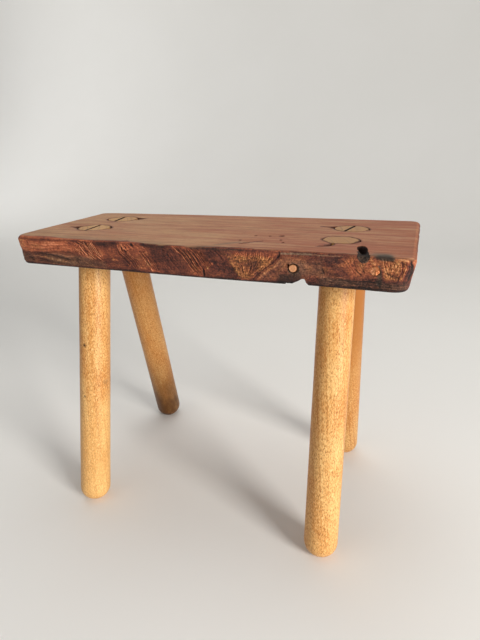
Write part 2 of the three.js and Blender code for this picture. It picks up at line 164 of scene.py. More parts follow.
class Noise:
    """Smooth seeded noise, worked out for whole arrays of points at once."""

    WORD = 0xFFFFFFFF
    SEED_FACTOR = 0x9E3779B9
    AXIS_FACTORS = (0x8DA6B343, 0xD8163841, 0xCB1AB31F)
    STIR_EACH = np.uint32(0x2C1B3C6D)
    STIR_LAST = np.uint32(0x297A2D39)
    LAYER_SHIFT = 17.3

    def __init__(self, seed: int) -> None:
        """Keep the seed.

        Args:
            seed: A whole number. The same seed always gives the same noise.
        """
        self.seed = seed

    def _lattice(self, cell: Array) -> Array:
        """Give each lattice corner a number from -1 to 1 by stirring its bits.

        Args:
            cell: Whole numbers, the last axis for x, y and z.

        Returns:
            A number for each corner.
        """
        cell = (cell & self.WORD).astype(np.uint32)
        bits = np.full(cell.shape[:-1], (self.seed * self.SEED_FACTOR) & self.WORD, np.uint32)
        for axis, factor in enumerate(self.AXIS_FACTORS):
            bits = bits ^ (cell[..., axis] * np.uint32(factor))
            bits = (bits ^ (bits >> np.uint32(15))) * self.STIR_EACH
        bits = (bits ^ (bits >> np.uint32(12))) * self.STIR_LAST
        bits = bits ^ (bits >> np.uint32(15))
        return bits.astype(np.float64) / 2**31 - 1.0

    def value(self, points: Array) -> Array:
        """One layer of noise: corner numbers blended along each axis by 3t^2 - 2t^3.

        Args:
            points: An array whose last axis holds x, y and z in lattice steps.

        Returns:
            Numbers from -1 to 1, one for each point.
        """
        cell = np.floor(points).astype(np.int64)
        t = points - cell
        t = t * t * (3.0 - 2.0 * t)
        total = np.zeros(points.shape[:-1])
        for corner in np.ndindex(2, 2, 2):
            weight = np.prod(np.where(corner, t, 1.0 - t), axis=-1)
            total += weight * self._lattice(cell + np.array(corner))
        return total

    def layers(self, points: Array, count: int) -> Array:
        """Several layers, each twice as fine as the one before and half as strong.

        Args:
            points: An array whose last axis holds x, y and z.
            count: How many layers.

        Returns:
            The sum of the layers.
        """
        total = np.zeros(points.shape[:-1])
        for layer in range(count):
            total += 0.5**layer * self.value(points * 2.0**layer + self.LAYER_SHIFT * layer)
        return total

    def over(self, *steps: tuple[Array, float], count: int = 1) -> Array:
        """Noise over one to three coordinates, each with its own step length.

        Args:
            steps: Pairs of a coordinate array and the step length along it.
            count: How many layers.

        Returns:
            Numbers from about -1 to 1, of the coordinates' shape.
        """
        shape = np.broadcast_shapes(*(np.shape(values) for values, _ in steps))
        points = np.zeros(shape + (3,))
        for axis, (values, step) in enumerate(steps):
            points[..., axis] = values / step
        return self.layers(points, count)


def circling(angle: Array, step: float) -> tuple[tuple[Array, float], tuple[Array, float]]:
    """An angle as two coordinates for noise that closes on itself, step being radii per cell."""
    return (np.cos(angle), step), (np.sin(angle), step)


def path_distance(points: Array, path: Array) -> tuple[Array, Array]:
    """Distance from each point to a path of straight pieces.

    Args:
        points: An (n, 2) array.
        path: An (m, 2) array of the path's points.

    Returns:
        The shortest distance of each point, and how far along the path it is met, 0 to 1.
    """
    starts, spans = path[:-1], np.diff(path, axis=0)
    offset = points[:, None, :] - starts
    share = np.clip((offset * spans).sum(2) / (spans**2).sum(1), 0.0, 1.0)
    gap = np.linalg.norm(offset - share[..., None] * spans, axis=2)
    nearest = gap.argmin(1)
    row = np.arange(len(points))
    return gap[row, nearest], (nearest + share[row, nearest]) / len(starts)


def inside_distance(points: Array, corners: Array) -> Array:
    """How far each point lies inside a closed outline, negative outside it.

    A point is inside when a line from it along +X crosses the outline an odd number of times.

    Args:
        points: An (n, 2) array.
        corners: An (m, 2) array of the outline's corners.

    Returns:
        The distance of each point.
    """
    closed = np.vstack([corners, corners[:1]])
    edge, _ = path_distance(points, closed)
    x, y = points[:, 0:1], points[:, 1:2]
    x0, y0 = closed[:-1].T
    x1, y1 = closed[1:].T
    spans = (y0 > y) != (y1 > y)
    with np.errstate(divide="ignore", invalid="ignore"):
        crossing = x < x0 + (y - y0) * (x1 - x0) / (y1 - y0)
    odd = (spans & crossing).sum(1) % 2 == 1
    return np.where(odd, edge, -edge)


# Helpers for meshes


def stacked(x: Array, y: Array, z: Array) -> Array:
    """Points from three coordinates that are spread to one shape."""
    return np.stack(np.broadcast_arrays(x, y, z), axis=-1)


@dataclass
class Shell:
    """Points in millimetres and faces, joined into one mesh at the end.

    Points that lie in the same cell of a grid as fine as weld become one.
    """

    points: list[Array] = field(default_factory=list)
    faces: list[list[int]] = field(default_factory=list)
    count: int = 0
    weld: float = 1e-5

    def add_points(self, points: Array) -> int:
        """Add points and return the number of the first one.

        Args:
            points: An array whose last axis holds x, y and z.

        Returns:
            The first one's number.
        """
        first = self.count
        flat = points.reshape(-1, 3)
        self.points.append(flat)
        self.count += len(flat)
        return first

    def add_grid(self, points: Array, closed: bool = False) -> int:
        """Add a grid of quads, rows by columns.

        Args:
            points: A (rows, columns, 3) array. Seen from outside, rows run down while
                columns run to the right.
            closed: Whether the last column joins the first.

        Returns:
            The number of the grid's first point.
        """
        first = self.add_points(points)
        rows, columns = points.shape[:2]
        index = first + np.arange(rows * columns).reshape(rows, columns)
        if closed:
            index = np.hstack([index, index[:, :1]])
        a, b = index[:-1, :-1], index[:-1, 1:]
        c, d = index[1:, 1:], index[1:, :-1]
        self.faces += np.stack([a, d, c, b], axis=-1).reshape(-1, 4).tolist()
        return first

    def add_wide(self, points: Array, row_step: int, column_step: int) -> None:
        """Add a grid whose inner cells are wide, while its border keeps every point.

        Args:
            points: A (rows, columns, 3) array, laid out as in add_grid.
            row_step: How many rows one cell spans. It divides the number of steps.
            column_step: How many columns one cell spans.
        """
        first = self.add_points(points)
        rows, columns = points.shape[:2]
        index = first + np.arange(rows * columns).reshape(rows, columns)
        for i in range(0, rows - 1, row_step):
            for j in range(0, columns - 1, column_step):
                low, right = i + row_step, j + column_step
                left = index[i : low + 1, j] if j == 0 else index[[i, low], j]
                bottom = index[low, j : right + 1] if low == rows - 1 else index[low, [j, right]]
                far = index[i : low + 1, right] if right == columns - 1 else index[[i, low], right]
                top = index[i, j : right + 1] if i == 0 else index[i, [j, right]]
                loop = [*left[:-1], *bottom[:-1], *far[::-1][:-1], *top[::-1][:-1]]
                self.faces.append([int(v) for v in loop])

    def add_fan(self, ring: Sequence[int], centre: Array, outward_up: bool) -> None:
        """Close a ring with triangles to one point.

        Args:
            ring: The ring's point numbers, counter-clockwise from above.
            centre: The point in the middle.
            outward_up: True for a lid, False for a floor.
        """
        pole = self.add_points(centre)
        after = list(ring[1:]) + [ring[0]]
        pairs = zip(ring, after) if outward_up else zip(after, ring)
        self.faces += [[a, b, pole] for a, b in pairs]

    def mesh(self, name: str) -> bpy.types.Mesh:
        """Make the Blender mesh, in metres, with shared points joined.

        Args:
            name: The mesh's name.

        Returns:
            The new mesh.
        """
        places = np.vstack(self.points)
        cells = np.round(places / self.weld)
        _, keep, link = np.unique(cells, axis=0, return_index=True, return_inverse=True)
        link = link.reshape(-1)
        faces = [[int(link[i]) for i in face] for face in self.faces]
        faces = [[v for k, v in enumerate(face) if v != face[k - 1]] for face in faces]
        faces = [face for face in faces if len(face) > 2]
        mesh = bpy.data.meshes.new(name)
        mesh.from_pydata((places[keep] * MM).tolist(), [], faces)
        mesh.validate()
        mesh.update()
        return mesh


def tube(points: Array) -> Shell:
    """A closed body from rings of points, top ring first, each closed by a fan at its end.

    Args:
        points: A (rings, around, 3) array, each ring counter-clockwise from above.

    Returns:
        The body's shell.
    """
    shell = Shell()
    around = points.shape[1]
    first = shell.add_grid(points, closed=True)
    last = first + (len(points) - 1) * around
    shell.add_fan(range(first, first + around), points[0].mean(0), True)
    shell.add_fan(range(last, last + around), points[-1].mean(0), False)
    return shell


def piece_from(name: str, mesh: bpy.types.Mesh) -> bpy.types.Object:
    """Put a mesh into the scene as an object at the origin."""
    piece = bpy.data.objects.new(name, mesh)
    bpy.context.scene.collection.objects.link(piece)
    return piece


def carve(piece: bpy.types.Object, cutters: Sequence[Shell]) -> None:
    """Cut closed shells out of a piece, one after another.

    Args:
        piece: The piece, which keeps the result as its own mesh.
        cutters: What is taken away.
    """
    tools = []
    for i, cutter in enumerate(cutters):
        name = f"{piece.name}_cutter_{i}"
        tool = piece_from(name, cutter.mesh(name))
        modifier = piece.modifiers.new(tool.name, "BOOLEAN")
        modifier.operation = "DIFFERENCE"
        modifier.solver = "MANIFOLD"
        modifier.object = tool
        tools.append(tool)
    graph = bpy.context.evaluated_depsgraph_get()
    cut = bpy.data.meshes.new_from_object(piece.evaluated_get(graph))
    piece.modifiers.clear()
    plain, piece.data = piece.data, cut
    cut.name = piece.name
    bpy.data.meshes.remove(plain)
    for tool in tools:
        mesh = tool.data
        bpy.data.objects.remove(tool)
        bpy.data.meshes.remove(mesh)


def places_of(piece: bpy.types.Object) -> Array:
    """The piece's points, in millimetres.

    Args:
        piece: The piece.

    Returns:
        An (n, 3) array.
    """
    mesh = piece.data
    flat = np.empty(len(mesh.vertices) * 3)
    mesh.vertices.foreach_get("co", flat)
    return flat.reshape(-1, 3) / MM


def paint(piece: bpy.types.Object, name: str, values: Array) -> None:
    """Store a number or a vector for each point of a piece as an attribute.

    Args:
        piece: The piece.
        name: The attribute's name.
        values: An (n,) array of numbers or an (n, 3) array of vectors.
    """
    kind, key = ("FLOAT", "value") if values.ndim == 1 else ("FLOAT_VECTOR", "vector")
    layer = piece.data.attributes.new(name, kind, "POINT")
    layer.data.foreach_set(key, np.ascontiguousarray(values, np.float32).ravel())


def finish_piece(piece: bpy.types.Object, node: str, material: bpy.types.Material,
                 crease: float) -> None:
    """Smooth, dress and declare a piece that stands for one node of the frame.

    Args:
        piece: The piece.
        node: The node that it replaces.
        material: The finish.
        crease: Edges that bend by more than this many degrees stay sharp.
    """
    mesh = piece.data
    mesh.shade_smooth()
    mesh.set_sharp_from_angle(angle=math.radians(crease))
    mesh.materials.clear()
    mesh.materials.append(material)
    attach(piece, "root")
    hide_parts(node)
    mesh.calc_loop_triangles()
    LOG.info("%s: %d triangles", piece.name, len(mesh.loop_triangles))


# Shader maths


class Signal:
    """One shader socket on which Python's own operators do sums."""

    def __init__(self, tree: "ShaderTree", socket: bpy.types.NodeSocket) -> None:
        """Wrap a socket.

        Args:
            tree: The tree that the socket is in.
            socket: An output socket.
        """
        self.tree = tree
        self.socket = socket

    def _sum(self, operation: str, first: "Signal | float", second: "Signal | float") -> "Signal":
        """Add one Math node."""
        return self.tree.add("ShaderNodeMath", {"operation": operation}, {0: first, 1: second})

    def __add__(self, other: "Signal | float") -> "Signal":
        """Add."""
        return self._sum("ADD", self, other)

    __radd__ = __add__

    def __sub__(self, other: "Signal | float") -> "Signal":
        """Take away."""
        return self._sum("SUBTRACT", self, other)

    def __rsub__(self, other: "Signal | float") -> "Signal":
        """Take this from a number."""
        return self._sum("SUBTRACT", other, self)

    def __mul__(self, other: "Signal | float") -> "Signal":
        """Multiply."""
        return self._sum("MULTIPLY", self, other)

    __rmul__ = __mul__

    def __pow__(self, other: "Signal | float") -> "Signal":
        """Raise to a power."""
        return self._sum("POWER", self, other)

    def __rpow__(self, other: "Signal | float") -> "Signal":
        """Raise a number to this."""
        return self._sum("POWER", other, self)

    def least(self, other: "Signal | float") -> "Signal":
        """The smaller of two."""
        return self._sum("MINIMUM", self, other)

    def ease(self, low: float, high: float, top: float = 1.0) -> "Signal":
        """Rise smoothly from 0 at low to top at high."""
        settings = {"interpolation_type": "SMOOTHSTEP"}
        inputs = {"Value": self, "From Min": low, "From Max": high, "To Max": top}
        return self.tree.add("ShaderNodeMapRange", settings, inputs)


class ShaderTree:
    """A material's nodes, built by calls that return signals."""

    COAT_ROUGHNESS = 0.35

    def __init__(self, name: str) -> None:
        """Make an empty material.

        Args:
            name: The material's name.
        """
        self.material = bpy.data.materials.new(name)
        self.material.use_nodes = True
        self.nodes = self.material.node_tree.nodes
        self.links = self.material.node_tree.links
        self.nodes.clear()

    def add(self, kind: str, settings: dict, inputs: dict, output: int | str = 0) -> Signal | None:
        """Add any node.

        Args:
            kind: The node's type.
            settings: The node's own properties, set before its sockets.
            inputs: Values or signals by socket name or number.
            output: Which output to hand back.

        Returns:
            The wanted output, or nothing from a node that has none.
        """
        node = self.nodes.new(kind)
        for key, value in settings.items():
            if key == "stops":
                self._set_stops(node.color_ramp, value)
            else:
                setattr(node, key, value)
        for key, value in inputs.items():
            if isinstance(value, Signal):
                self.links.new(value.socket, node.inputs[key])
            else:
                node.inputs[key].default_value = value
        return Signal(self, node.outputs[output]) if len(node.outputs) else None

    @staticmethod
    def _set_stops(ramp: bpy.types.ColorRamp, colours: Sequence[Triple]) -> None:
        """Spread colours evenly over a ramp.

        Args:
            ramp: The ramp.
            colours: Its colours, from 0 to 1.
        """
        while len(ramp.elements) < len(colours):
            ramp.elements.new(1.0)
        for i, (element, colour) in enumerate(zip(ramp.elements, colours)):
            element.position = i / (len(colours) - 1)
            element.color = (*colour, 1.0)

    def attribute(self, name: str, output: str = "Fac") -> Signal:
        """Read a point attribute."""
        return self.add("ShaderNodeAttribute", {"attribute_name": name}, {}, output)

    def place(self) -> Signal:
        """The point's own coordinates, in metres."""
        return self.add("ShaderNodeTexCoord", {}, {}, "Object")

    def axis(self, vector: Signal, index: int) -> Signal:
        """One coordinate of a vector."""
        return self.add("ShaderNodeSeparateXYZ", {}, {0: vector}, index)

    def vector(self, x: Signal | float, y: Signal | float, z: Signal | float) -> Signal:
        """A vector of three numbers."""
        return self.add("ShaderNodeCombineXYZ", {}, {0: x, 1: y, 2: z})

    def noise(self, vector: Signal, scale: Triple, detail: float = 3.0, roughness: float = 0.5,
              warp: float = 0.0) -> Signal:
        """Smooth noise from 0 to 1 whose steps along each axis are 1 / scale metres.

        Args:
            vector: Where the noise is read.
            scale: Steps per metre along each axis.
            detail: How many layers.
            roughness: The strength of each finer layer.
            warp: How far the noise bends itself.

        Returns:
            The noise.
        """
        stretched = self.add("ShaderNodeVectorMath", {"operation": "MULTIPLY"}, {0: vector, 1: scale})
        inputs = {"Vector": stretched, "Scale": 1.0, "Detail": detail, "Roughness": roughness,
                  "Distortion": warp}
        return self.add("ShaderNodeTexNoise", {}, inputs, "Fac")

    def mix(self, a: Signal | Triple, b: Signal | Triple, share: Signal | float) -> Signal:
        """Blend two colours."""
        a, b = (colour if isinstance(colour, Signal) else (*colour, 1.0) for colour in (a, b))
        return self.add("ShaderNodeMix", {"data_type": "RGBA"}, {0: share, 6: a, 7: b}, 2)

    def coats(self, colour: Signal | Triple, *coats: tuple[Signal | Triple, Signal | float]) -> Signal:
        """Lay tints over a colour one after another.

        Args:
            colour: The colour below.
            coats: Pairs of a tint and its share.

        Returns:
            The colour on top.
        """
        for tint, share in coats:
            colour = self.mix(colour, tint, share)
        return colour

    def ramp(self, value: Signal, colours: Sequence[Triple]) -> Signal:
        """A colour read off a ramp."""
        return self.add("ShaderNodeValToRGB", {"stops": colours}, {0: value}, "Color")

    def bump(self, height: Signal, depth: float, strength: float = 1.0,
             normal: Signal | None = None) -> Signal:
        """A normal bent by a height from 0 to 1 that stands for a depth in millimetres.

        Args:
            height: The height.
            depth: What 1 stands for, in millimetres.
            strength: Its strength.
            normal: A normal that is bent already.

        Returns:
            The bent normal.
        """
        inputs = {"Height": height, "Distance": depth * MM, "Strength": strength}
        if normal:
            inputs["Normal"] = normal
        return self.add("ShaderNodeBump", {}, inputs, "Normal")

    def finish(self, colour: Signal, roughness: Signal, normal: Signal, coat: float = 0.0,
               specular: float = 0.5) -> bpy.types.Material:
        """Close the tree with a shader.

        Args:
            colour: Base colour.
            roughness: Roughness.
            normal: Bent normal.
            coat: Strength of the clear coat.
            specular: Specular level, 0.5 for common varnish and wood.

        Returns:
            The material.
        """
        inputs = {"Base Color": colour, "Roughness": roughness, "Normal": normal, "Coat Weight": coat,
                  "Coat Roughness": self.COAT_ROUGHNESS, "Specular IOR Level": specular}
        shader = self.add("ShaderNodeBsdfPrincipled", {}, inputs, "BSDF")
        self.add("ShaderNodeOutputMaterial", {}, {"Surface": shader})
        return self.material


def srgb(red: float, green: float, blue: float) -> Triple:
    """Turn a colour of three numbers from 0 to 255 into linear light."""
    return tuple((c / 255.0) ** 2.2 for c in (red, green, blue))


def shades(*colours: Triple) -> tuple[Triple, ...]:
    """Several such colours, from dark to light."""
    return tuple(srgb(*colour) for colour in colours)


# Finishes


@dataclass(frozen=True)
class SlabFinish:
    """Old red-brown timber: planed and oiled on top, raw and weathered on its natural edge.

    Each ramp runs from the darkest to the lightest tone that one kind of surface shows.
    """

    red: Sequence[Triple] = shades((38, 20, 18), (86, 45, 36), (128, 68, 48), (180, 98, 64),
                                   (226, 146, 106))
    gold: Sequence[Triple] = shades((38, 24, 16), (96, 62, 38), (152, 98, 56), (202, 134, 78),
                                    (238, 182, 122))
    grey: Sequence[Triple] = shades((34, 25, 20), (74, 54, 42), (110, 84, 66), (144, 114, 90),
                                    (184, 156, 132))
    beige: Triple = srgb(185, 137, 95)
    brown: Triple = srgb(160, 90, 57)
    dark_band: Triple = srgb(150, 82, 58)
    pale_band: Triple = srgb(186, 150, 110)
    dark_streak: Triple = srgb(104, 60, 42)
    pale_streak: Triple = srgb(210, 168, 130)
    dash: Triple = srgb(84, 50, 38)
    pore: Triple = srgb(104, 68, 52)
    speck: Triple = srgb(84, 52, 40)
    weathered: Triple = srgb(96, 86, 68)
    char: Triple = srgb(22, 15, 13)
    # The colour of painted shade inside holes and cracks
    hollow: Triple = srgb(46, 26, 20)
    seam: Triple = srgb(128, 66, 46)
    dark_seam: Triple = srgb(62, 36, 26)

    def top_colour(self, tree: ShaderTree, place: Signal) -> Signal:
        """The sitting face: straight grain along X, beige to the left and browner to the right.

        Args:
            tree: The material's tree.
            place: The point's own coordinates.

        Returns:
            The colour.
        """
        x = tree.axis(place, 0)
        broad = tree.noise(place, (6.0, 30.0, 20.0), 2.0)
        cloud = tree.noise(place, (26.0, 60.0, 20.0), 4.0, 0.6)
        band = tree.noise(place, (10.0, 110.0, 40.0), 4.0, 0.6, 0.3)
        streak = tree.noise(place, (18.0, 300.0, 80.0), 5.0, 0.65, 0.2)
        dash = tree.noise(place, (40.0, 460.0, 160.0), 4.0, 0.6, 0.2)
        fine = tree.noise(place, (160.0, 1300.0, 300.0), 3.0, 0.6)
        speck = tree.noise(place, (700.0, 1500.0, 500.0), 2.0, 0.6)
        tone = tree.attribute(Paint.TONE.value)
        lean = (x * 1.7 + broad * 1.3 + cloud * 1.1 - 1.02 - tone * 0.7).ease(-0.36, 0.6)
        weathered = tree.attribute(Paint.GREY.value).least(1.0) * (0.6 + 0.5 * fine)
        return tree.coats(
            tree.mix(self.beige, self.brown, lean),
            (self.dark_band, band.ease(0.48, 0.68, 0.45)),
            (self.pale_band, band.ease(0.5, 0.32, 0.4)),
            (self.dark_streak, streak.ease(0.5, 0.68, 0.4)),
            (self.pale_streak, streak.ease(0.48, 0.32, 0.42)),
            (self.dash, dash.ease(0.56, 0.72, 0.4)),
            (self.pore, fine.ease(0.5, 0.75, 0.6)),
            (self.speck, speck.ease(0.64, 0.8, 0.7)),
            (self.weathered, weathered.least(1.0)),
        )

    def edge_colour(self, tree: ShaderTree, place: Signal) -> Signal:
        """The walls: dusky red wood, yellower where it was torn and greyer where it weathered.

        Args:
            tree: The material's tree.
            place: The point's own coordinates.

        Returns:
            The colour.
        """
        speck = tree.noise(place, (620.0, 620.0, 760.0), 4.0, 0.75)
        torn = tree.noise(place, (420.0, 420.0, 360.0), 3.0, 0.6, 1.6)
        vein = tree.noise(place, (300.0, 300.0, 330.0), 2.0, 0.5, 2.2) - 0.5
        fibre = tree.noise(place, (90.0, 90.0, 700.0), 3.0, 0.6)
        yellow = tree.attribute(Paint.GOLD.value)
        tone = tree.attribute(Paint.TONE.value) + (speck - 0.5) * 1.25 + (fibre - 0.5) * 0.4
        torn_tone = (torn - 0.5) * 1.1 - (vein * vein).ease(0.0016, 0.0, 0.42)
        tone = tone + torn_tone * yellow.least(1.0)
        drift = (tree.noise(place, (190.0, 190.0, 190.0), 3.0) - 0.5) * 0.55
        gold = (yellow + drift).ease(0.0, 0.9)
        grey = (tree.attribute(Paint.GREY.value) - drift * 0.8).ease(0.05, 0.95)
        return tree.coats(
            tree.ramp(tone, self.red),
            (tree.ramp(tone, self.gold), gold),
            (tree.ramp(tone, self.grey), grey),
        )

    def material(self) -> bpy.types.Material:
        """Build the material.

        Returns:
            The material.
        """
        tree = ShaderTree("slab_timber")
        place = tree.place()
        planed = tree.attribute(Paint.PLANED.value)
        hollow = tree.attribute(Paint.HOLLOW.value)
        seam = tree.attribute(Paint.SEAM.value)
        patchy = tree.noise(place, (140.0, 140.0, 140.0), 2.0).ease(0.25, 0.5)
        colour = tree.coats(
            self.edge_colour(tree, place),
            (self.top_colour(tree, place), planed),
            (self.char, tree.attribute(Paint.CHAR.value).least(1.0) * (1.0 - 0.2 * planed)),
            # Painted shade on the walls of holes and cracks
            (self.hollow, hollow),
            (self.seam, seam.ease(0.02, 0.5, 0.6)),
            (self.dark_seam, seam.ease(0.5, 1.0, 0.85) * (0.25 + patchy).least(1.0)),
        )
        pores = tree.noise(place, (70.0, 1500.0, 900.0), 3.0, 0.6)
        rough = tree.noise(place, (520.0, 520.0, 900.0), 5.0, 0.65)
        normal = tree.bump(pores, 0.1, 0.6)
        normal = tree.bump(rough * (1.0 - planed), 1.2, 1.0, normal)
        gloss = 0.66 - 0.12 * planed + 0.12 * rough + 0.2 * hollow
        return tree.finish(colour, gloss, normal, specular=0.4)


@dataclass(frozen=True)
class LegFinish:
    """Golden timber, thickly flecked, sanded and oiled to a soft gloss.

    The heart is the middle of the growth rings, in metres from the leg's axis.
    """

    honey: Triple = srgb(222, 150, 76)
    straw: Triple = srgb(244, 192, 120)
    dark_ring: Triple = srgb(176, 112, 54)
    cloud: Triple = srgb(190, 122, 58)
    fleck: Triple = srgb(158, 94, 42)
    light_fleck: Triple = srgb(255, 218, 152)
    dot: Triple = srgb(124, 74, 36)
    dirt: Triple = srgb(120, 92, 66)
    # The colour of painted shade on the legs
    deep: Triple = srgb(165, 102, 40)
    # The colour of the nicks' real stains and of painted shade at the foot
    stain: Triple = srgb(98, 62, 24)
    end_grain: Triple = srgb(171, 126, 86)
    # The colour of painted light on the legs
    painted_light: Triple = srgb(255, 206, 130)
    # The colour of painted shade on darkened end grain
    painted_end_shade: Triple = srgb(98, 66, 40)
    end_ring: Triple = srgb(112, 80, 54)
    rim: Triple = srgb(92, 58, 38)
    # The colour of painted shade in the kerf
    sawn: Triple = srgb(40, 24, 16)
    heart: Pair = (-0.045, -0.02)

    def material(self) -> bpy.types.Material:
        """Build the material, a solid wood that reads each leg's own coordinates.

        Returns:
            The material.
        """
        tree = ShaderTree("leg_timber")
        grain = tree.attribute("grain", "Vector")
        x, y, z = (tree.axis(grain, i) for i in range(3))
        sway = tree.noise(grain, (9.0, 9.0, 4.0), 2.0)
        radius = ((x - self.heart[0]) ** 2.0 + (y - self.heart[1] + sway * 0.006) ** 2.0) ** 0.5
        ring_place = tree.vector((radius + z * 0.08) * 420.0, sway * 2.0, z * 2.5)
        rings = tree.noise(ring_place, (1.0, 1.0, 1.0), 2.0)
        flecks = tree.noise(grain, (1120.0, 1120.0, 420.0), 4.0, 0.7)
        dots = tree.noise(grain, (1500.0, 1500.0, 560.0), 2.0, 0.5)
        cloud = tree.noise(grain, (45.0, 45.0, 22.0), 3.0)
        dirt = tree.noise(grain, (120.0, 120.0, 60.0), 4.0, 0.6)
        end = tree.attribute("end")
        colour = tree.coats(
            tree.mix(self.honey, self.straw, (rings * 0.5 + cloud * 0.8).ease(0.42, 0.88)),
            (self.dark_ring, rings.ease(0.46, 0.3, 0.5)),
            (self.cloud, cloud.ease(0.5, 0.3, 0.2)),
            (self.fleck, flecks.ease(0.48, 0.65, 0.85) * (1.0 - 0.4 * end)),
            (self.light_fleck, flecks.ease(0.48, 0.34, 0.85)),
            (self.dot, dots.ease(0.58, 0.74, 0.55)),
            (self.dirt, dirt.ease(0.64, 0.8, 0.5)),
            # Painted shade: heavier up under the slab and on the legs' shaded sides
            (self.deep, tree.attribute("deep")),
            # Real stains at the nicks, and painted shade at the foot
            (self.stain, tree.attribute("stain") * (0.45 + 0.9 * dirt).least(1.0)),
            (self.end_grain, end * 0.85),
            # Painted light on the lower leg and on lightened end grain
            (self.painted_light, tree.attribute("painted_light")),
            # Painted shade on darkened end grain
            (self.painted_end_shade, tree.attribute("painted_end_shade")),
            (self.end_ring, end * rings.ease(0.5, 0.8, 0.6)),
            (self.rim, tree.attribute("rim") * (dirt * 1.3).least(1.0)),
            # Painted shade in the kerf: its walls painted nearly black
            (self.sawn, tree.attribute("sawn")),
        )
        normal = tree.bump(flecks, 0.08, 0.5)
        return tree.finish(colour, 0.34 + 0.2 * flecks + 0.25 * end, normal, coat=0.1, specular=0.35)


@dataclass(frozen=True)
class WedgeFinish:
    """Thin slips crushed at their tops, dark partly in their own grain and partly as painted shade of the
    slit.
    """

    dark: Triple = srgb(58, 36, 23)
    worn: Triple = srgb(104, 70, 46)

    def material(self) -> bpy.types.Material:
        """Build the material.

        Returns:
            The material.
        """
        tree = ShaderTree("wedge_timber")
        fibre = tree.noise(tree.place(), (900.0, 250.0, 200.0), 3.0)
        colour = tree.mix(self.dark, self.worn, fibre.ease(0.5, 0.8, 0.7))
        return tree.finish(colour, 0.7 + 0.15 * fibre, tree.bump(fibre, 0.2, 0.6))


@dataclass(frozen=True)
class DowelFinish:
    """Light orange end grain, cut across and left raw."""

    pale: Triple = srgb(208, 146, 102)
    deep: Triple = srgb(150, 86, 56)
    dot: Triple = srgb(98, 60, 40)
    lit: Triple = srgb(255, 158, 98)
    rim: Triple = srgb(122, 60, 30)

    def material(self) -> bpy.types.Material:
        """Build the material.

        Returns:
            The material.
        """
        tree = ShaderTree("dowel_timber")
        place = tree.place()
        x, z = tree.axis(place, 0), tree.axis(place, 2)
        rays = tree.noise(tree.vector(x + z, 0.0, x - z), (160.0, 60.0, 620.0), 3.0, 0.6)
        dots = tree.noise(place, (1400.0, 1400.0, 1400.0), 2.0)
        colour = tree.coats(
            tree.mix(self.pale, self.deep, rays.ease(0.48, 0.75, 0.8)),
            (self.dot, dots.ease(0.6, 0.8, 0.5)),
            (self.lit, tree.attribute("lit")),
            # Dark round the face's edge, and painted shade on the torn dowel's left side
            (self.rim, tree.attribute("rim")),
        )
        return tree.finish(colour, 0.62 + 0.1 * rays, tree.bump(rays, 0.25, 0.7))


# The natural edge


@dataclass(frozen=True)
class Mark:
    """What a mark adds to the front: relief in millimetres and shares of each colour.

    Tone runs from dark to light, gold makes the wood yellower, grey weathers it and char
    blackens it. A negative share takes some away.
    """

    path: Sequence[Pair]
    width: float
    relief: float = 0.0
    tone: float = 0.0
    gold: float = 0.0
    grey: float = 0.0
    char: float = 0.0


class Stroke(Mark):
    """A mark along a path of places along the seat, each with its depth: a ridge, crack or streak."""

    def weight(self, spots: Array) -> Array:
        """1 along the middle of the path, falling smoothly to 0, thinner towards both ends."""
        distance, along = path_distance(spots, np.array(self.path, float))
        taper = 0.4 + 0.6 * np.sqrt(np.clip(4 * along * (1 - along), 0, 1))
        return ease(distance / (self.width * taper), 1.4, 0.2)


class Patch(Mark):
    """A mark over an area given by its corners, whose border is as soft as its width."""

    def weight(self, spots: Array) -> Array:
        """1 well inside the area, falling smoothly to 0 outside it."""
        return ease(inside_distance(spots, np.array(self.path, float)), -self.width, self.width)


@dataclass(frozen=True)
class Comb:
    """Strokes spread between two guide paths with as many points, ridges and grooves in turn."""

    first: Sequence[Pair]
    last: Sequence[Pair]
    count: int
    width: float
    relief: float
    tone: float
    gold: float = 0.0
    char: float = 0.0

    def strokes(self, random: np.random.Generator) -> list[Stroke]:
        """Work out the comb's strokes: the guides blended, each moved and cut short a little.

        Args:
            random: The seeded source of the small moves.

        Returns:
            The ridges, each followed by its groove.
        """
        first, last = np.array(self.first, float), np.array(self.last, float)
        made = []
        for i in range(self.count):
            share = (i + random.uniform(-0.3, 0.3)) / (self.count - 1)
            path = blend(first, last, share) + random.uniform(-0.5, 0.5, first.shape)
            path[0] = blend(path[0], path[1], random.uniform(0.0, 0.6))
            path[-1] = blend(path[-1], path[-2], random.uniform(0.0, 0.7))
            strength = random.uniform(0.7, 1.25)
            width = self.width * random.uniform(0.75, 1.25)
            relief, tone = self.relief * strength, self.tone * strength
            made.append(Stroke(path, width, relief, tone, self.gold * strength))
            groove = path + [width * 1.3, random.uniform(-0.6, 0.6)]
            made.append(Stroke(groove, width * 0.85, -relief, -0.9 * self.tone * strength,
                               char=self.char * strength))
        return made


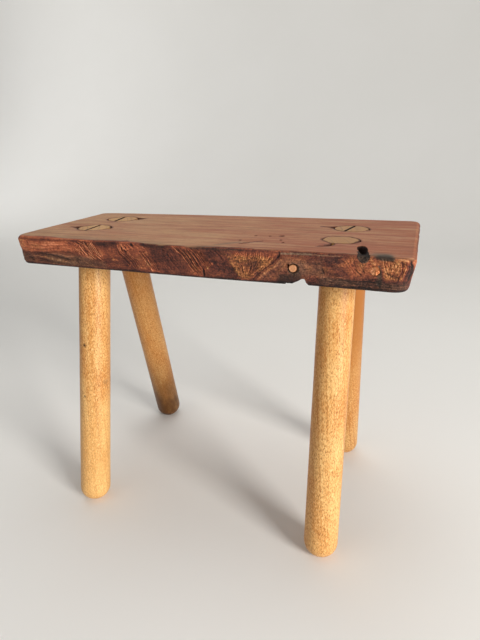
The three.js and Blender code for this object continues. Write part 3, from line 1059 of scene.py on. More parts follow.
def front_patches() -> list[Patch]:
    """The front's areas of colour, from left to right.

    Returns:
        The areas.
    """
    return [
        Patch([(-208, -9), (-96, -9), (-96, 1.2), (-208, 1.6)], 1.0, tone=0.36),
        Patch([(-96, -9), (208, -9), (208, 0.6), (-96, 0.6)], 0.8, tone=0.14),
        Patch([(-208, 3), (-126, 2.5), (-123, 12), (-150, 15), (-208, 17)], 3.0, tone=0.42),
        Patch([(-200, 6), (-170, 5), (-160, 12), (-200, 14)], 5.0, tone=0.08, gold=0.3),
        Patch([(-208, 17), (-150, 15.5), (-120, 15), (-86, 21), (-84, 32), (-208, 32)], 3.5, tone=0.06,
              grey=0.5),
        Patch([(-168, 18), (-100, 21), (-100, 30), (-150, 28)], 4.0, gold=0.35, tone=0.03),
        Patch([(-124, 2), (-94, 1), (-86, 14), (-90, 20), (-108, 19), (-124, 11)], 3.0, tone=0.3),
        Patch([(-90, 6), (-69, 6), (-68, 16), (-90, 19)], 4.0, tone=0.19),
        Patch([(-96, 1.5), (-70, 1.5), (-72, 5), (-94, 5.5)], 2.0, tone=-0.1, char=0.28),
        Patch([(-68, 1.5), (-46, 1), (-34, 7), (-30, 24), (-46, 27), (-58, 12), (-68, 10)], 3.2,
              tone=0.22),
        Patch([(-50, 11), (-39, 12), (-36, 24), (-46, 25)], 3.5, tone=0.08, gold=0.3),
        Patch([(-46, 0.5), (-18, 0.5), (-20, 4), (-40, 4)], 2.0, tone=-0.1, char=0.25, grey=0.15),
        Patch([(-12, 1), (14, 1), (26, 12), (28, 18), (18, 28), (6, 28), (-2, 12)], 3.5, tone=0.14),
        Patch([(-12, -1), (20, -1), (22, 5), (-8, 6)], 2.0, tone=0.1),
        Patch([(8, 0.3), (60, 0.3), (60, 2.0), (10, 2.2)], 1.2, tone=-0.06, char=0.3, grey=0.7),
        Patch([(45, 3), (92, 2), (82, 15), (72, 23), (64, 28), (57, 28), (50, 18)], 2.0, tone=0.27,
              gold=0.5),
        Patch([(48, 1.5), (91, 1.5), (88, 6.5), (50, 6.5)], 2.5, tone=0.02, gold=-0.5),
        Patch([(59, 13), (75, 11), (76, 20), (66, 22)], 3.0, tone=-0.18, gold=-0.15),
        Patch([(92, 6), (128, 6), (134, 22), (76, 28), (72, 27)], 4.0, tone=0.17, gold=0.22, grey=0.34),
        # A thin grey-lilac line under the arris: painted highlight
        Patch([(92, 1.7), (120, 1.6), (120, 3.2), (92, 3.2)], 0.6, tone=0.28, grey=1.0),
        Patch([(120, 1.7), (147, 1.6), (147, 2.9), (120, 3.1)], 0.7, tone=0.3, grey=0.8),
        Patch([(124, 4), (150, 4), (148, 9), (128, 9)], 2.5, tone=-0.06, grey=0.3),
        Patch([(108, 8), (122, 8), (124, 22), (110, 22)], 3.5, tone=0.02, grey=0.2),
        Patch([(124, 10), (150, 10), (152, 20), (124, 21)], 4.0, tone=0.02, gold=0.1, grey=0.2),
        Patch([(149, 2), (178, 2), (178, 18), (154, 20), (144, 12)], 4.0, tone=0.28, gold=0.2),
        Patch([(178, 2), (198, 2), (197, 19), (180, 20)], 2.0, tone=0.46, gold=0.5),
        Patch([(92, 22), (110, 21), (114, 28), (90, 32)], 2.6, char=0.65, grey=0.3),
        Patch([(128, 22.5), (199, 21.5), (199, 32), (118, 32)], 2.6, tone=-0.05, grey=0.6),
        Patch([(169, -3), (188.5, -3), (187.5, 3.4), (178, 3.9), (172, 2.2)], 1.1, char=0.72, grey=0.9),
        Patch([(201.5, -3), (208, -3), (208, 32), (201.5, 32)], 1.2, tone=0.44, gold=0.1, grey=0.2),
        # Darker along the underside's rounded arris: painted shade
        Patch([(-208, 28.8), (208, 28.8), (208, 40), (-208, 40)], 1.1, tone=-0.22, grey=-0.6, char=0.5),
    ]


def front_strokes() -> list[Stroke]:
    """The front's single ridges, cracks, nicks and flecks, from left to right.

    Returns:
        The strokes.
    """
    return [
        Stroke([(-196, 1.9), (-169, 2.4), (-146, 2.2), (-128, 1.8)], 0.45, -0.15, tone=-0.15, char=0.15),
        Stroke([(-130, 1.4), (-120, 1.7), (-104, 1.4)], 0.5, -0.2, tone=-0.2, char=0.25),
        Stroke([(-196, 9), (-176, 9.6), (-152, 8.4)], 0.7, -0.15, tone=-0.2),
        Stroke([(-188, 12.6), (-166, 12.9), (-140, 11)], 0.7, -0.15, tone=-0.22),
        Stroke([(-160, 6.6), (-140, 6.9), (-128, 6)], 0.8, 0.15, tone=0.2),
        Stroke([(-179, 4.3), (-179.6, 8.8)], 0.9, -0.5, char=0.5),
        Stroke([(-188.5, 4.6), (-181.6, 4.0)], 1.0, 0.2, tone=0.25, gold=0.5),
        Stroke([(-190, 17.6), (-165, 16.7), (-151, 15.2), (-138, 14), (-124, 14.4)], 0.9, -0.4,
               char=0.4),
        Stroke([(-167, 17.3), (-155.6, 18.2), (-145.8, 19.3), (-134, 21.2), (-124.5, 22.3)], 1.1, -0.7,
               char=0.6),
        Stroke([(-181.5, 22.9), (-168.6, 24.2), (-156.1, 25.6), (-143.9, 27.3), (-134, 28)], 1.0, -0.6,
               char=0.5),
        Stroke([(-175, 20.4), (-160, 21.6), (-146, 23.4), (-130, 25)], 1.3, 0.35, tone=0.26, gold=0.3),
        Stroke([(-150, 16.6), (-136, 17.4), (-122, 18.4)], 1.0, 0.3, tone=0.22),
        Stroke([(-183, 23), (-177.4, 26)], 2.2, -0.8, char=0.6),
        Stroke([(-121.4, 20.4), (-116.9, 21.8)], 2.2, -0.6, char=0.5),
        Stroke([(-64.4, 5.4), (-63.2, 8.6)], 0.9, -1.0, tone=-0.4, char=0.6),
        Stroke([(-61.4, 8.2), (-60.2, 10.2)], 0.8, -0.7, tone=-0.4, char=0.5),
        Stroke([(-60.3, 4.6), (-59.4, 6.4)], 0.7, -0.6, tone=-0.3, char=0.4),
        Stroke([(-52.6, 1.4), (-52.2, 3.6)], 1.5, -1.1, tone=-0.5, char=0.8),
        Stroke([(-68.4, 3.0), (-67.2, 7.2), (-64.4, 11.4), (-61.0, 14.2)], 0.8, 0.6, tone=0.36),
        Stroke([(-66.4, 2.6), (-63.6, 3.2), (-62.0, 5.8)], 0.7, 0.5, tone=0.34),
        Stroke([(-65.6, 4.8), (-65.0, 8.4), (-62.6, 11.2)], 0.6, 0.5, tone=0.3),
        Stroke([(-62.4, 6.6), (-60.6, 6.2), (-59.2, 8.4)], 0.7, 0.5, tone=0.34),
        Stroke([(-61.4, 3.0), (-58.6, 4.4), (-57.0, 7.6)], 0.7, 0.4, tone=0.3),
        Stroke([(-58.6, 9.4), (-56.4, 12.4), (-53.0, 15.4)], 0.8, 0.4, tone=0.26),
        Stroke([(-56.2, 2.2), (-54.8, 4.4), (-52.0, 6.4)], 0.8, 0.4, tone=0.3),
        Stroke([(-50.6, 1.0), (-48.0, 3.6), (-44.0, 5.0)], 0.8, 0.4, tone=0.24),
        Stroke([(-70.0, 0.4), (-60.0, 0.9), (-48.0, 1.2)], 0.6, 0.2, tone=0.3),
        Stroke([(-46.0, 1.6), (-41.0, 3.0), (-37.0, 6.0)], 0.7, 0.3, tone=0.26),
        Stroke([(-9.6, 1.0), (-5.6, 4.0), (-3.4, 7.0)], 0.9, 0.3, tone=0.3),
        Stroke([(-77.2, 19.1), (-73.6, 18.7), (-70.3, 19.4)], 1.3, 0.4, tone=0.4, gold=0.3),
        Stroke([(-57.3, 19.8), (-58.5, 25.1)], 0.9, 0.2, tone=0.2),
        Stroke([(-33.7, 21.2), (-33.9, 25.3), (-32.8, 27.9)], 1.0, 0.4, tone=0.3),
        Stroke([(-36.4, 25), (-30, 27.4), (-22, 28.4)], 0.9, 0.2, tone=0.25),
        Stroke([(-44.3, 11), (-44.6, 14.8)], 0.8, -0.4, char=0.5),
        Stroke([(-38.5, 17.8), (-38.8, 20.8)], 0.9, -0.5, char=0.5),
        Stroke([(20.1, 21.3), (19.3, 28.2)], 1.1, -0.8, tone=-0.4, char=0.9),
        Stroke([(24.6, 18.6), (25.2, 20.8)], 1.2, 0.5, tone=0.45, gold=0.7),
        Stroke([(28.6, 15), (30, 16.6)], 1.1, 0.3, tone=0.4),
        Stroke([(26, 5), (30, 12), (36, 20)], 1.4, -0.3, tone=-0.12),
        Stroke([(33, 3), (37, 10), (41, 18)], 1.2, -0.3, tone=-0.1),
        Stroke([(42.5, 5.7), (45, 9.3), (47.5, 13.8), (51.8, 20.2), (56.3, 26)], 1.5, 0.5, tone=0.16,
               gold=0.5),
        Stroke([(90.8, 1.5), (91.2, 4.2), (88.9, 7), (85.3, 11.7), (81.7, 15.1), (77.9, 18.6)], 0.65,
               -0.45, tone=-0.2, gold=-0.2, char=0.4),
        Stroke([(90.6, 1.0), (91.0, 3.6), (89.4, 6.4)], 1.3, -0.4, tone=-0.2, char=0.4),
        Stroke([(77.9, 18.6), (74.2, 21.6), (70.4, 25.6), (68.5, 28)], 0.6, -0.4, tone=-0.15, char=0.3),
        Stroke([(93, 8), (88.4, 13.2), (84, 17.2), (79.5, 20.9), (75.6, 24), (71.6, 28)], 1.2, 0.5,
               tone=0.26, gold=0.3),
        Stroke([(96, 12), (90, 17), (84, 21), (78, 26)], 1.0, -0.2, tone=-0.12),
        Stroke([(112, 9.5), (114, 12), (117, 15)], 1.6, 0.15, tone=0.12),
        Stroke([(120, 22.5), (127, 21), (134, 22)], 1.2, 0.1, tone=0.12),
        Stroke([(129.5, 15), (131.5, 19.5)], 1.2, -0.4, tone=-0.2, char=0.3),
        Stroke([(135, 19), (141, 21)], 1.3, -0.4, char=0.4),
        Stroke([(154.1, 3.1), (155.9, 9.8), (159.1, 14.7), (162.5, 17.5)], 0.8, -0.4, tone=-0.15,
               char=0.3),
        Stroke([(156.9, 5.4), (161.3, 11.1), (165.6, 15.9)], 0.7, -0.3, tone=-0.1, char=0.25),
        Stroke([(168, 3.5), (170.5, 6), (173, 9)], 1.6, 0.4, tone=0.2, gold=0.2),
        Stroke([(163, 8), (163.4, 12), (164.4, 15)], 1.0, -0.3, char=0.4),
        Stroke([(176.4, 8.5), (176.3, 18.3), (176, 26)], 2.4, -0.2, tone=-0.14, gold=-0.5, grey=0.8),
        Stroke([(180.6, 13.6), (186.3, 16.2), (192.6, 17.7)], 1.3, -0.6, tone=-0.25, char=0.25),
        Stroke([(182, 3.5), (192, 4.2), (196, 5)], 0.8, -0.2, tone=-0.2),
        Stroke([(192.9, 3.1), (193.6, 11.6), (191.6, 20.4)], 0.9, -0.35, tone=-0.3, gold=-0.4),
        Stroke([(196.8, 3), (197.4, 11.6), (196.2, 22)], 1.5, 0.0, tone=-0.2, gold=-0.6),
        Stroke([(200, 3.0), (200.4, 11.7), (199.4, 21)], 1.0, -0.5, tone=-0.5, gold=-0.6, char=0.6),
        Stroke([(148.8, 23.5), (153, 24.9), (158.1, 27.1)], 0.8, -0.4, char=0.5),
        Stroke([(20, 0.2), (64, 0.3), (92, 0.2), (120, 0.2), (150, 0.1)], 0.6, 0.0, tone=0.24),
        # A thin dark line under the arris: painted shadow of the arris
        Stroke([(94, 1.2), (120, 1.1), (148, 1.0)], 0.5, -0.1, tone=-0.2, char=0.25),
        Stroke([(188, 1.4), (193, 1.6), (199, 2.4)], 0.7, 0.3, tone=0.4, gold=0.3),
    ]


def front_combs() -> list[Comb]:
    """The places where a tool or the torn grain left ridge beside ridge.

    Returns:
        The combs.
    """
    return [
        Comb([(-120.9, 9.1), (-118.7, 12.7), (-115.8, 15.4)],
             [(-110.8, 3.2), (-108.5, 10.5), (-103.7, 17.7)], 8, 0.5, 0.7, 0.46, 0.1, 0.6),
        Comb([(-108.6, 2.2), (-106, 9.2), (-102.5, 15.8)], [(-98.3, 0.4), (-94.6, 8.5), (-89.3, 17.9)],
             12, 0.5, 0.75, 0.5, 0.1, 0.75),
        Comb([(-122, 3), (-118, 5), (-113, 6.5)], [(-110, 1.5), (-106, 3), (-101, 4)], 6, 0.5, 0.5, 0.34,
             0.0, 0.5),
        Comb([(-112, 14), (-106, 18), (-101, 22)], [(-98, 14), (-92, 19), (-88, 23)], 9, 0.5, 0.45, 0.36,
             0.15, 0.4),
        Comb([(-72, 10), (-66, 16), (-58, 26)], [(-60, 8), (-53, 15), (-45, 25)], 9, 0.6, 0.5, 0.3, 0.0,
             0.4),
        Comb([(-46, 8), (-40, 16), (-35, 26)], [(-37, 8), (-31, 16), (-25.9, 27)], 6, 0.6, 0.5, 0.3, 0.1,
             0.45),
        Comb([(-8.8, 1.2), (-1.2, 8.9), (11.7, 28.0)], [(6, 1.2), (12, 9), (22, 26)], 11, 0.5, 0.6, 0.36,
             0.1, 0.6),
        Comb([(8, 1.6), (14, 8), (25, 22)], [(21.0, 2.9), (24.9, 10.3), (31, 20)], 8, 0.5, 0.6, 0.34,
             0.0, 0.55),
        Comb([(-6, 0.6), (-3, 4), (1, 8)], [(14, 0.8), (17, 4), (20, 7)], 9, 0.5, 0.4, 0.2, 0.0, 0.4),
        Comb([(49, 3), (51, 8), (53, 14)], [(88, 3), (86, 8), (82, 13)], 22, 0.6, 0.3, 0.14),
        Comb([(53, 13), (56, 19), (60, 26)], [(82, 12), (75, 18), (66, 25)], 14, 0.6, 0.3, 0.13),
        Comb([(145, 2), (150, 11), (159, 19)], [(159, 5), (164, 12), (170, 17)], 9, 0.75, 0.2, 0.12,
             0.05),
        Comb([(178, 3), (181, 10), (182, 18)], [(197, 3), (196.5, 10), (195, 18)], 13, 0.65, 0.3, 0.15),
        Comb([(126, 21.6), (160, 22.2), (196, 21.6)], [(130, 28.6), (165, 29), (192, 28.8)], 9, 0.5, 0.3,
             0.3, 0.1, 0.4),
        Comb([(-198, 19), (-160, 20), (-112, 23)], [(-190, 27.6), (-150, 29), (-100, 29.6)], 8, 0.8, 0.3,
             0.15),
        Comb([(-202, 4), (-165, 4.6), (-126, 4)], [(-204, 14), (-165, 13.6), (-122, 11)], 7, 0.7, 0.15,
             0.09),
        Comb([(-24, 3), (-22, 12), (-14, 26)], [(-12, 4), (-8, 14), (2, 27)], 6, 1.2, 0.2, 0.05),
        Comb([(24, 3), (32, 12), (40, 24)], [(40, 4), (44, 12), (50, 24)], 5, 1.2, 0.2, 0.05),
        Comb([(94, 8), (110, 7), (140, 10)], [(84, 22), (104, 19), (140, 18)], 7, 1.0, 0.2, 0.07),
    ]


@dataclass
class NaturalEdge:
    """The weathered, tool-marked front of the slab, as fields over place and depth."""

    seed: int = 11
    patches: list[Patch] = field(default_factory=front_patches)
    strokes: list[Stroke] = field(default_factory=front_strokes)
    combs: list[Comb] = field(default_factory=front_combs)

    def marks(self) -> list[Mark]:
        """Every mark, the areas first and the combs' own strokes before the single ones."""
        random = np.random.default_rng(self.seed)
        combed = [stroke for comb in self.combs for stroke in comb.strokes(random)]
        return [*self.patches, *combed, *self.strokes]

    def fields(self, x: Array, depth: Array) -> dict[str, Array]:
        """Work out relief and colours.

        Every mark adds its amounts times its weight. The places are first pushed about by
        noise of three step lengths, so that no mark has a ruled edge.

        Args:
            x: Places along the seat.
            depth: Depths under the sitting face.

        Returns:
            Arrays named relief, tone, gold, grey and char.
        """
        push = [1.3 * Noise(self.seed + k).over((x, 13.0), (depth, 9.0)) for k in (0, 1)]
        jitter = [0.28 * Noise(self.seed + k).over((x, 2.2), (depth, 2.2), count=2) for k in (2, 3)]
        spots = np.column_stack([x + push[0] + jitter[0], depth + 0.6 * push[1] + jitter[1]])
        grain = Noise(self.seed + 4).over((x, 12.0), (depth, 1.5), count=3)
        rough = Noise(self.seed + 5).over((x, 2.2), (depth, 2.0), count=3)
        slow = Noise(self.seed + 6).over((x, 24.0), (depth, 12.0), count=2)
        blotch = Noise(self.seed + 7).over((x, 7.0), (depth, 5.0), count=2)
        total = {
            "relief": 0.5 * slow + 0.14 * grain + 0.2 * rough + 0.2 * blotch,
            "tone": 0.285 + 0.06 * grain + 0.08 * rough + 0.07 * slow + 0.09 * blotch,
            "gold": 0.1 * rough + 0.15 * blotch,
            "grey": 0.12 * slow,
            "char": 0.3 * ease(rough + 0.6 * blotch, 0.75, 1.25),
        }
        for mark in self.marks():
            weight = mark.weight(spots)
            for name in total:
                total[name] += weight * getattr(mark, name)
        torn = Noise(self.seed + 8).over((x + 0.4 * depth, 0.9), (depth, 1.2), count=2)
        torn = torn * np.clip(total["gold"], 0, 1)
        bent = [1.4 * Noise(self.seed + k).over((x, 3.0), (depth, 3.0)) for k in (9, 10)]
        vein = Noise(self.seed + 12).over((x + bent[0], 2.4), (depth + bent[1], 2.0))
        squiggle = ease(np.abs(vein), 0.26, 0.04) * np.clip(1.8 * total["gold"] - 0.4, 0, 1)
        total["relief"] += 0.3 * torn - 0.3 * squiggle
        total["tone"] += 0.3 * torn - 0.16 * squiggle
        total["char"] += 0.42 * squiggle
        return total


# The slab


@dataclass(frozen=True)
class Corner:
    """One corner of the slab in plan.

    The rounding is given at the sitting face and at the underside, then how far the corner
    steps in on its way down, along the length and across the width.
    """

    x: float
    y: float
    inward: Pair
    rounds: Pair
    steps: Pair


@dataclass
class SeatSlab:
    """The seat: an outline lofted through the thickness, with its holes cut.

    The hollows are knots of how far the front stands behind a straight line, at the sitting
    face and at the underside, with places from -1 at the left end to 1 at the right. The soft
    band is how far behind the front's line the planed face begins, and the edge's colours
    end at the edge's reach. Each arris has its radius and, at the two ends, the length over
    which it fades.
    """

    length: float = 410.4
    width_left: float = 173.0
    width_right: float = 194.5
    forward_left: float = 13.0
    left_skew: float = 7.2
    right_skew: float = 0.4
    back_swell: float = 4.0
    arris: float = 2.8
    left_arris: Pair = (6.0, 26.0)
    right_arris: Pair = (4.5, 12.0)
    underside_round: float = 2.6
    front_hollow: Sequence[Pair] = ((-1, 0), (-0.74, -2.6), (-0.4, -0.6), (0, -1.8), (0.3, 2), (0.5, 4.3),
                                    (0.78, 4.6), (1, 0))
    foot_hollow: Sequence[Pair] = ((-1, 0), (-0.5, -0.6), (0, -1.4), (0.4, -0.4), (0.62, 1.6),
                                   (0.85, 0.6), (1, 0))
    wobble: float = 0.35
    edge_reach: float = 16.0
    columns: int = 900
    rows: int = 56
    wall_rings: int = 47
    back_cells: tuple[int, int] = (4, 6)
    top_cells: tuple[int, int] = (1, 3)
    underside_cells: tuple[int, int] = (4, 4)
    round_rings: int = 5
    edge: NaturalEdge = field(default_factory=NaturalEdge)
    soft_band: Sequence[Pair] = ((-206, 5), (-182, 5.5), (-167, 7), (-151, 8.5), (-131, 5), (-114, 3.2),
                                 (-99, 2.6), (-85, 4.5), (-70, 7.5), (-58, 8), (-47, 5), (-34, 2.4),
                                 (20, 2.2), (35, 4.5), (50, 5), (65, 3.2), (90, 2), (206, 1.8))
    stains: list[Patch] = field(default_factory=lambda: [
        Patch([(173, -99), (185, -99), (185, -91), (180, -87.5), (174, -90)], 2.0, grey=1.0, char=0.62),
        Patch([(167, -93), (187, -94), (184, -82), (171, -81)], 3.4, grey=0.7, char=0.24),
        Patch([(29, -88), (37, -82), (48, -70), (46, -66), (33, -79), (26, -87)], 1.6, grey=0.7,
              char=0.15),
        Patch([(6, -101), (62, -96), (60, -92), (20, -93.5)], 3.0, grey=0.8, char=0.1),
        Patch([(-150, -99), (-20, -102), (-20, -88), (-150, -86)], 8.0, grey=0.35, tone=0.1),
        Patch([(-60, -60), (20, -62), (40, -30), (-50, -20)], 12.0, tone=0.35),
        Patch([(-10, 60), (200, 60), (200, 95), (-10, 95)], 16.0, tone=-0.2),
        Patch([(-60, 20), (60, 18), (60, 60), (-60, 60)], 14.0, tone=-0.25),
        Patch([(166, -84), (186, -84), (190, -60), (168, -60)], 10.0, tone=0.25),
        Patch([(-200, -90), (-150, -98), (-150, -70), (-196, -60)], 10.0, tone=0.1, grey=0.15),
    ])

    def corners(self) -> list[Corner]:
        """The four corners, from the front left, counter-clockwise.

        Returns:
            The corners.
        """
        half = self.length / 2
        front_left = -self.forward_left - self.width_left / 2
        front_right = -self.width_right / 2
        return [
            Corner(-half + self.left_skew, front_left, (1, 1), (18, 9), (3.5, 6)),
            Corner(half - self.right_skew, front_right, (-1, 1), (8, 16), (4.6, 5.5)),
            Corner(half, front_right + self.width_right, (-1, -1), (12, 13), (4.2, 3)),
            Corner(-half, front_left + self.width_left, (1, -1), (10, 11), (3.5, 3)),
        ]

    def hollow(self, side: Side, t: Array, level: float) -> Array:
        """How far a side stands behind its straight line, t running from corner to corner.

        Args:
            side: Which side.
            t: Places along it, 0 to 1.
            level: 0 at the sitting face and 1 at the underside.

        Returns:
            The distance at each place, positive inwards.
        """
        if side is Side.FRONT:
            ends = (through_knots(knots, t * 2 - 1) for knots in (self.front_hollow, self.foot_hollow))
            return blend(*ends, level)
        if side is Side.BACK:
            return -self.back_swell * 4 * t * (1 - t)
        return np.zeros_like(t)

    def side_points(self, side: Side, t: Array, level: float) -> Array:
        """Points on one side before its corners are rounded, at one level of the thickness.

        Args:
            side: Which side.
            t: Places along it, 0 to 1.
            level: 0 at the sitting face and 1 at the underside.

        Returns:
            An (n, 2) array.
        """
        corners = self.corners()
        ends = []
        for corner in (corners[side.value], corners[(side.value + 1) % 4]):
            step = np.array(corner.inward) * np.array(corner.steps) * level
            ends.append(np.array([corner.x, corner.y]) + step)
        start, end = ends
        along = (end - start) / np.linalg.norm(end - start)
        inward = np.array([-along[1], along[0]])
        return start + (end - start) * t[:, None] + inward * self.hollow(side, t, level)[:, None]

    def side_ends(self, side: Side, level: float) -> Pair:
        """Where the straight part of a side starts and ends, as shares of its length.

        Args:
            side: Which side.
            level: 0 at the sitting face and 1 at the underside.

        Returns:
            The two shares.
        """
        corners = self.corners()
        spots = self.side_points(side, np.array([0.0, 1.0]), level)
        length = np.linalg.norm(spots[1] - spots[0])
        rounds = [blend(*corners[k % 4].rounds, level) for k in (side.value, side.value + 1)]
        return rounds[0] / length, 1 - rounds[1] / length

    def bend(self, corner: int, level: float, t: Array) -> Array:
        """The rounded corner: a curve (1-t)^2 A + 2t(1-t) B + t^2 C with B the sharp corner.

        Args:
            corner: The corner's number.
            level: 0 at the sitting face and 1 at the underside.
            t: Places along the curve, 0 to 1.

        Returns:
            An (n, 2) array.
        """
        before, after = Side((corner + 3) % 4), Side(corner)
        a = self.side_points(before, np.array([self.side_ends(before, level)[1]]), level)
        b = self.side_points(after, np.array([0.0]), level)
        c = self.side_points(after, np.array([self.side_ends(after, level)[0]]), level)
        t = t[:, None]
        return (1 - t) ** 2 * a + 2 * t * (1 - t) * b + t**2 * c

    def side_curve(self, side: Side, shares: Array, level: float) -> Array:
        """Points spread along one side, from the middle of one rounded corner to the next.

        Args:
            side: Which side.
            shares: Where the points lie, as shares of the side's curved length.
            level: 0 at the sitting face and 1 at the underside.

        Returns:
            An (n, 2) array.
        """
        start, end = self.side_ends(side, level)
        fine = np.vstack([
            self.bend(side.value, level, np.linspace(0.5, 1, 12, endpoint=False)),
            self.side_points(side, np.linspace(start, end, 160), level),
            self.bend((side.value + 1) % 4, level, np.linspace(0, 0.5, 13)[1:]),
        ])
        run = np.concatenate([[0.0], np.cumsum(np.linalg.norm(np.diff(fine, axis=0), axis=1))])
        run /= run[-1]
        return np.column_stack([np.interp(shares, run, fine[:, k]) for k in range(2)])

    def shares(self) -> tuple[Array, Array]:
        """How the points are spread along the length, and across the width, closer at the front."""
        return np.linspace(0, 1, self.columns + 1), np.linspace(0, 1, self.rows + 1) ** 1.25

    def ring(self, level: float) -> Array:
        """The outline at one level, counter-clockwise, with as many points at each level."""
        along, across = self.shares()
        spread = {Side.FRONT: along, Side.RIGHT: across, Side.BACK: along, Side.LEFT: 1 - across[::-1]}
        return np.vstack([self.side_curve(side, spread[side], level)[:-1] for side in Side])

    def arris_radius(self, x: Array) -> Array:
        """Radius of the upper arris: small along the seat, softer round both ends."""
        half = self.length / 2
        left = blend(self.left_arris[0], self.arris, ease(half + x, 0, self.left_arris[1]))
        return left + blend(self.right_arris[0] - self.arris, 0.0, ease(half - x, 0, self.right_arris[1]))

    @staticmethod
    def outward(ring: Array) -> Array:
        """Outward unit normals of a closed counter-clockwise ring."""
        along = np.roll(ring, -1, axis=0) - np.roll(ring, 1, axis=0)
        along /= np.linalg.norm(along, axis=1)[:, None]
        return np.column_stack([along[:, 1], -along[:, 0]])

    def wall(self) -> Array:
        """The wall's rings, from the sitting face's border down to the underside's.

        Each ring is the outline at its depth, drawn in by the arris or the underside's
        rounding, both quarter circles, and pushed out or in by the edge's relief.

        Returns:
            A (rings, around, 3) array in the seat's own plan coordinates.
        """
        radius = self.arris_radius(self.ring(0.0)[:, 0])
        lowest = SEAT_THICKNESS - self.underside_round
        flush = np.zeros_like(radius)
        stages = []
        for angle in np.linspace(0, math.pi / 2, self.round_rings + 1):
            stages.append((radius * (1 - math.cos(angle)), radius * (1 - math.sin(angle))))
        for share in np.linspace(0, 1, self.wall_rings + 1)[1:-1]:
            stages.append((blend(radius, lowest, share), flush))
        for angle in np.linspace(0, math.pi / 2, self.round_rings):
            depth = lowest + self.underside_round * math.sin(angle)
            stages.append((flush + depth, flush + self.underside_round * (1 - math.cos(angle))))
        rings = []
        levels = np.linspace(0, 1, 9)
        outlines = np.array([self.ring(level) for level in levels])
        for depth, inset in stages:
            place = depth / SEAT_THICKNESS * (len(levels) - 1)
            k = np.clip(place.astype(int), 0, len(levels) - 2)
            row = np.arange(len(radius))
            flat = blend(outlines[k, row], outlines[k + 1, row], (place - k)[:, None])
            normal = self.outward(flat)
            push = self.relief(flat, depth, normal) - inset
            rings.append(np.column_stack([flat + normal * push[:, None], SITTING_HEIGHT - depth]))
        return np.array(rings)

    def relief(self, flat: Array, depth: Array, normal: Array) -> Array:
        """How far the wall stands out from the plain outline: the natural edge, or saw marks.

        Args:
            flat: The outline's points in the seat's own plan coordinates.
            depth: Their depths under the sitting face.
            normal: Their outward normals.

        Returns:
            The push along each normal.
        """
        x, y = flat.T
        front = ease(-normal[:, 1], 0.35, 0.8)
        natural = np.zeros(len(x))
        near = front > 0
        natural[near] = self.edge.fields(x[near], depth[near])["relief"]
        fade = ease(depth, 0.3, 4.0) * ease(depth, SEAT_THICKNESS + 0.5, SEAT_THICKNESS - 3.0)
        wobble = self.wobble * Noise(Seed.SIDE_WOBBLE).over((x, 17.0), (y, 17.0), count=3)
        marks = 0.12 * Noise(Seed.SAW_MARKS).over((x + y, 3.0), (depth, 40.0))
        sawn = marks + 0.15 * Noise(Seed.SAW_DRIFT).over((x, 9.0), (y, 9.0), (depth, 6.0))
        return wobble - self.wobble + fade * (front * natural + (1 - front) * sawn)

    def face(self, border: Array, height: Array | float) -> Array:
        """A grid across the seat inside a border, blended from its four sides.

        Each point is the blend of the front and back sides plus the blend of the left and
        right sides, less the blend of the four corners.

        Args:
            border: An (around, 3) ring.
            height: The height of the face.

        Returns:
            A (rows, columns, 3) array from front to back.
        """
        n, m = self.columns, self.rows
        flat = np.vstack([border[:, :2], border[:1, :2]])
        front, right = flat[: n + 1], flat[n : n + m + 1]
        back, left = flat[n + m : 2 * n + m + 1][::-1], flat[2 * n + m :][::-1]
        u, v = self.shares()
        u, v = u[None, :, None], v[:, None, None]
        grid = (1 - v) * front[None] + v * back[None] + (1 - u) * left[:, None] + u * right[:, None]
        near = (1 - u) * (1 - v) * front[0] + u * (1 - v) * front[-1]
        grid -= near + (1 - u) * v * back[0] + u * v * back[-1]
        return np.dstack([grid, np.broadcast_to(height, grid.shape[:2])])

    def blank(self) -> bpy.types.Mesh:
        """The slab before any hole is cut.

        Returns:
            The mesh, in the frame.
        """
        wall = self.wall()
        ring = np.concatenate([wall, wall[:, :1]], axis=1)
        ends = np.cumsum([0, self.columns, self.rows, self.columns, self.rows])
        shell = Shell()
        for side in Side:
            part = ring[:, ends[side.value] : ends[side.value + 1] + 1]
            if side is Side.BACK:
                shell.add_wide(part, *self.back_cells)
            else:
                shell.add_grid(part)
        top = self.face(wall[0], SITTING_HEIGHT)
        along, across = np.arange(self.columns + 1)[None, :], np.arange(self.rows + 1)[:, None]
        rim = np.minimum(np.minimum(across, self.rows - across),
                         np.minimum(along, self.columns - along) / 4)
        dip = 0.12 + 0.12 * Noise(Seed.PLANING).over((top[..., 0], 60.0), (top[..., 1], 16.0), count=2)
        top[..., 2] -= ease(rim, 0, 4) * np.clip(dip, 0, 1)
        shell.add_wide(top[::-1], *self.top_cells)
        shell.add_wide(self.face(wall[-1], UNDERSIDE_HEIGHT), *self.underside_cells)
        for points in shell.points:
            points[:, :2] += SEAT_MIDDLE
        return shell.mesh("seat_slab_timber")

    def front_line(self, x: Array) -> Array:
        """The Y of the plain front at the sitting face, for places in the frame."""
        line = self.side_points(Side.FRONT, np.linspace(0, 1, 200), 0.0) + SEAT_MIDDLE
        return np.interp(x, line[:, 0], line[:, 1])

    def front_at(self, x: float, depth: float) -> float:
        """Where the plain front stands at a place and a depth, in the frame's Y."""
        share = (x - SEAT_MIDDLE[0] + self.length / 2) / self.length
        spot = self.side_points(Side.FRONT, np.array([share]), depth / SEAT_THICKNESS)[0]
        return float(spot[1] + SEAT_MIDDLE[1])

    def build(self, legs: Sequence["Leg"], holes: Sequence[Shell]) -> bpy.types.Object:
        """Make the slab and cut it.

        Args:
            legs: The legs whose mortises it holds.
            holes: The other hollows.

        Returns:
            The slab's object.
        """
        piece = piece_from("seat_slab_timber", self.blank())
        carve(piece, [leg.mortise() for leg in legs] + list(holes))
        return piece

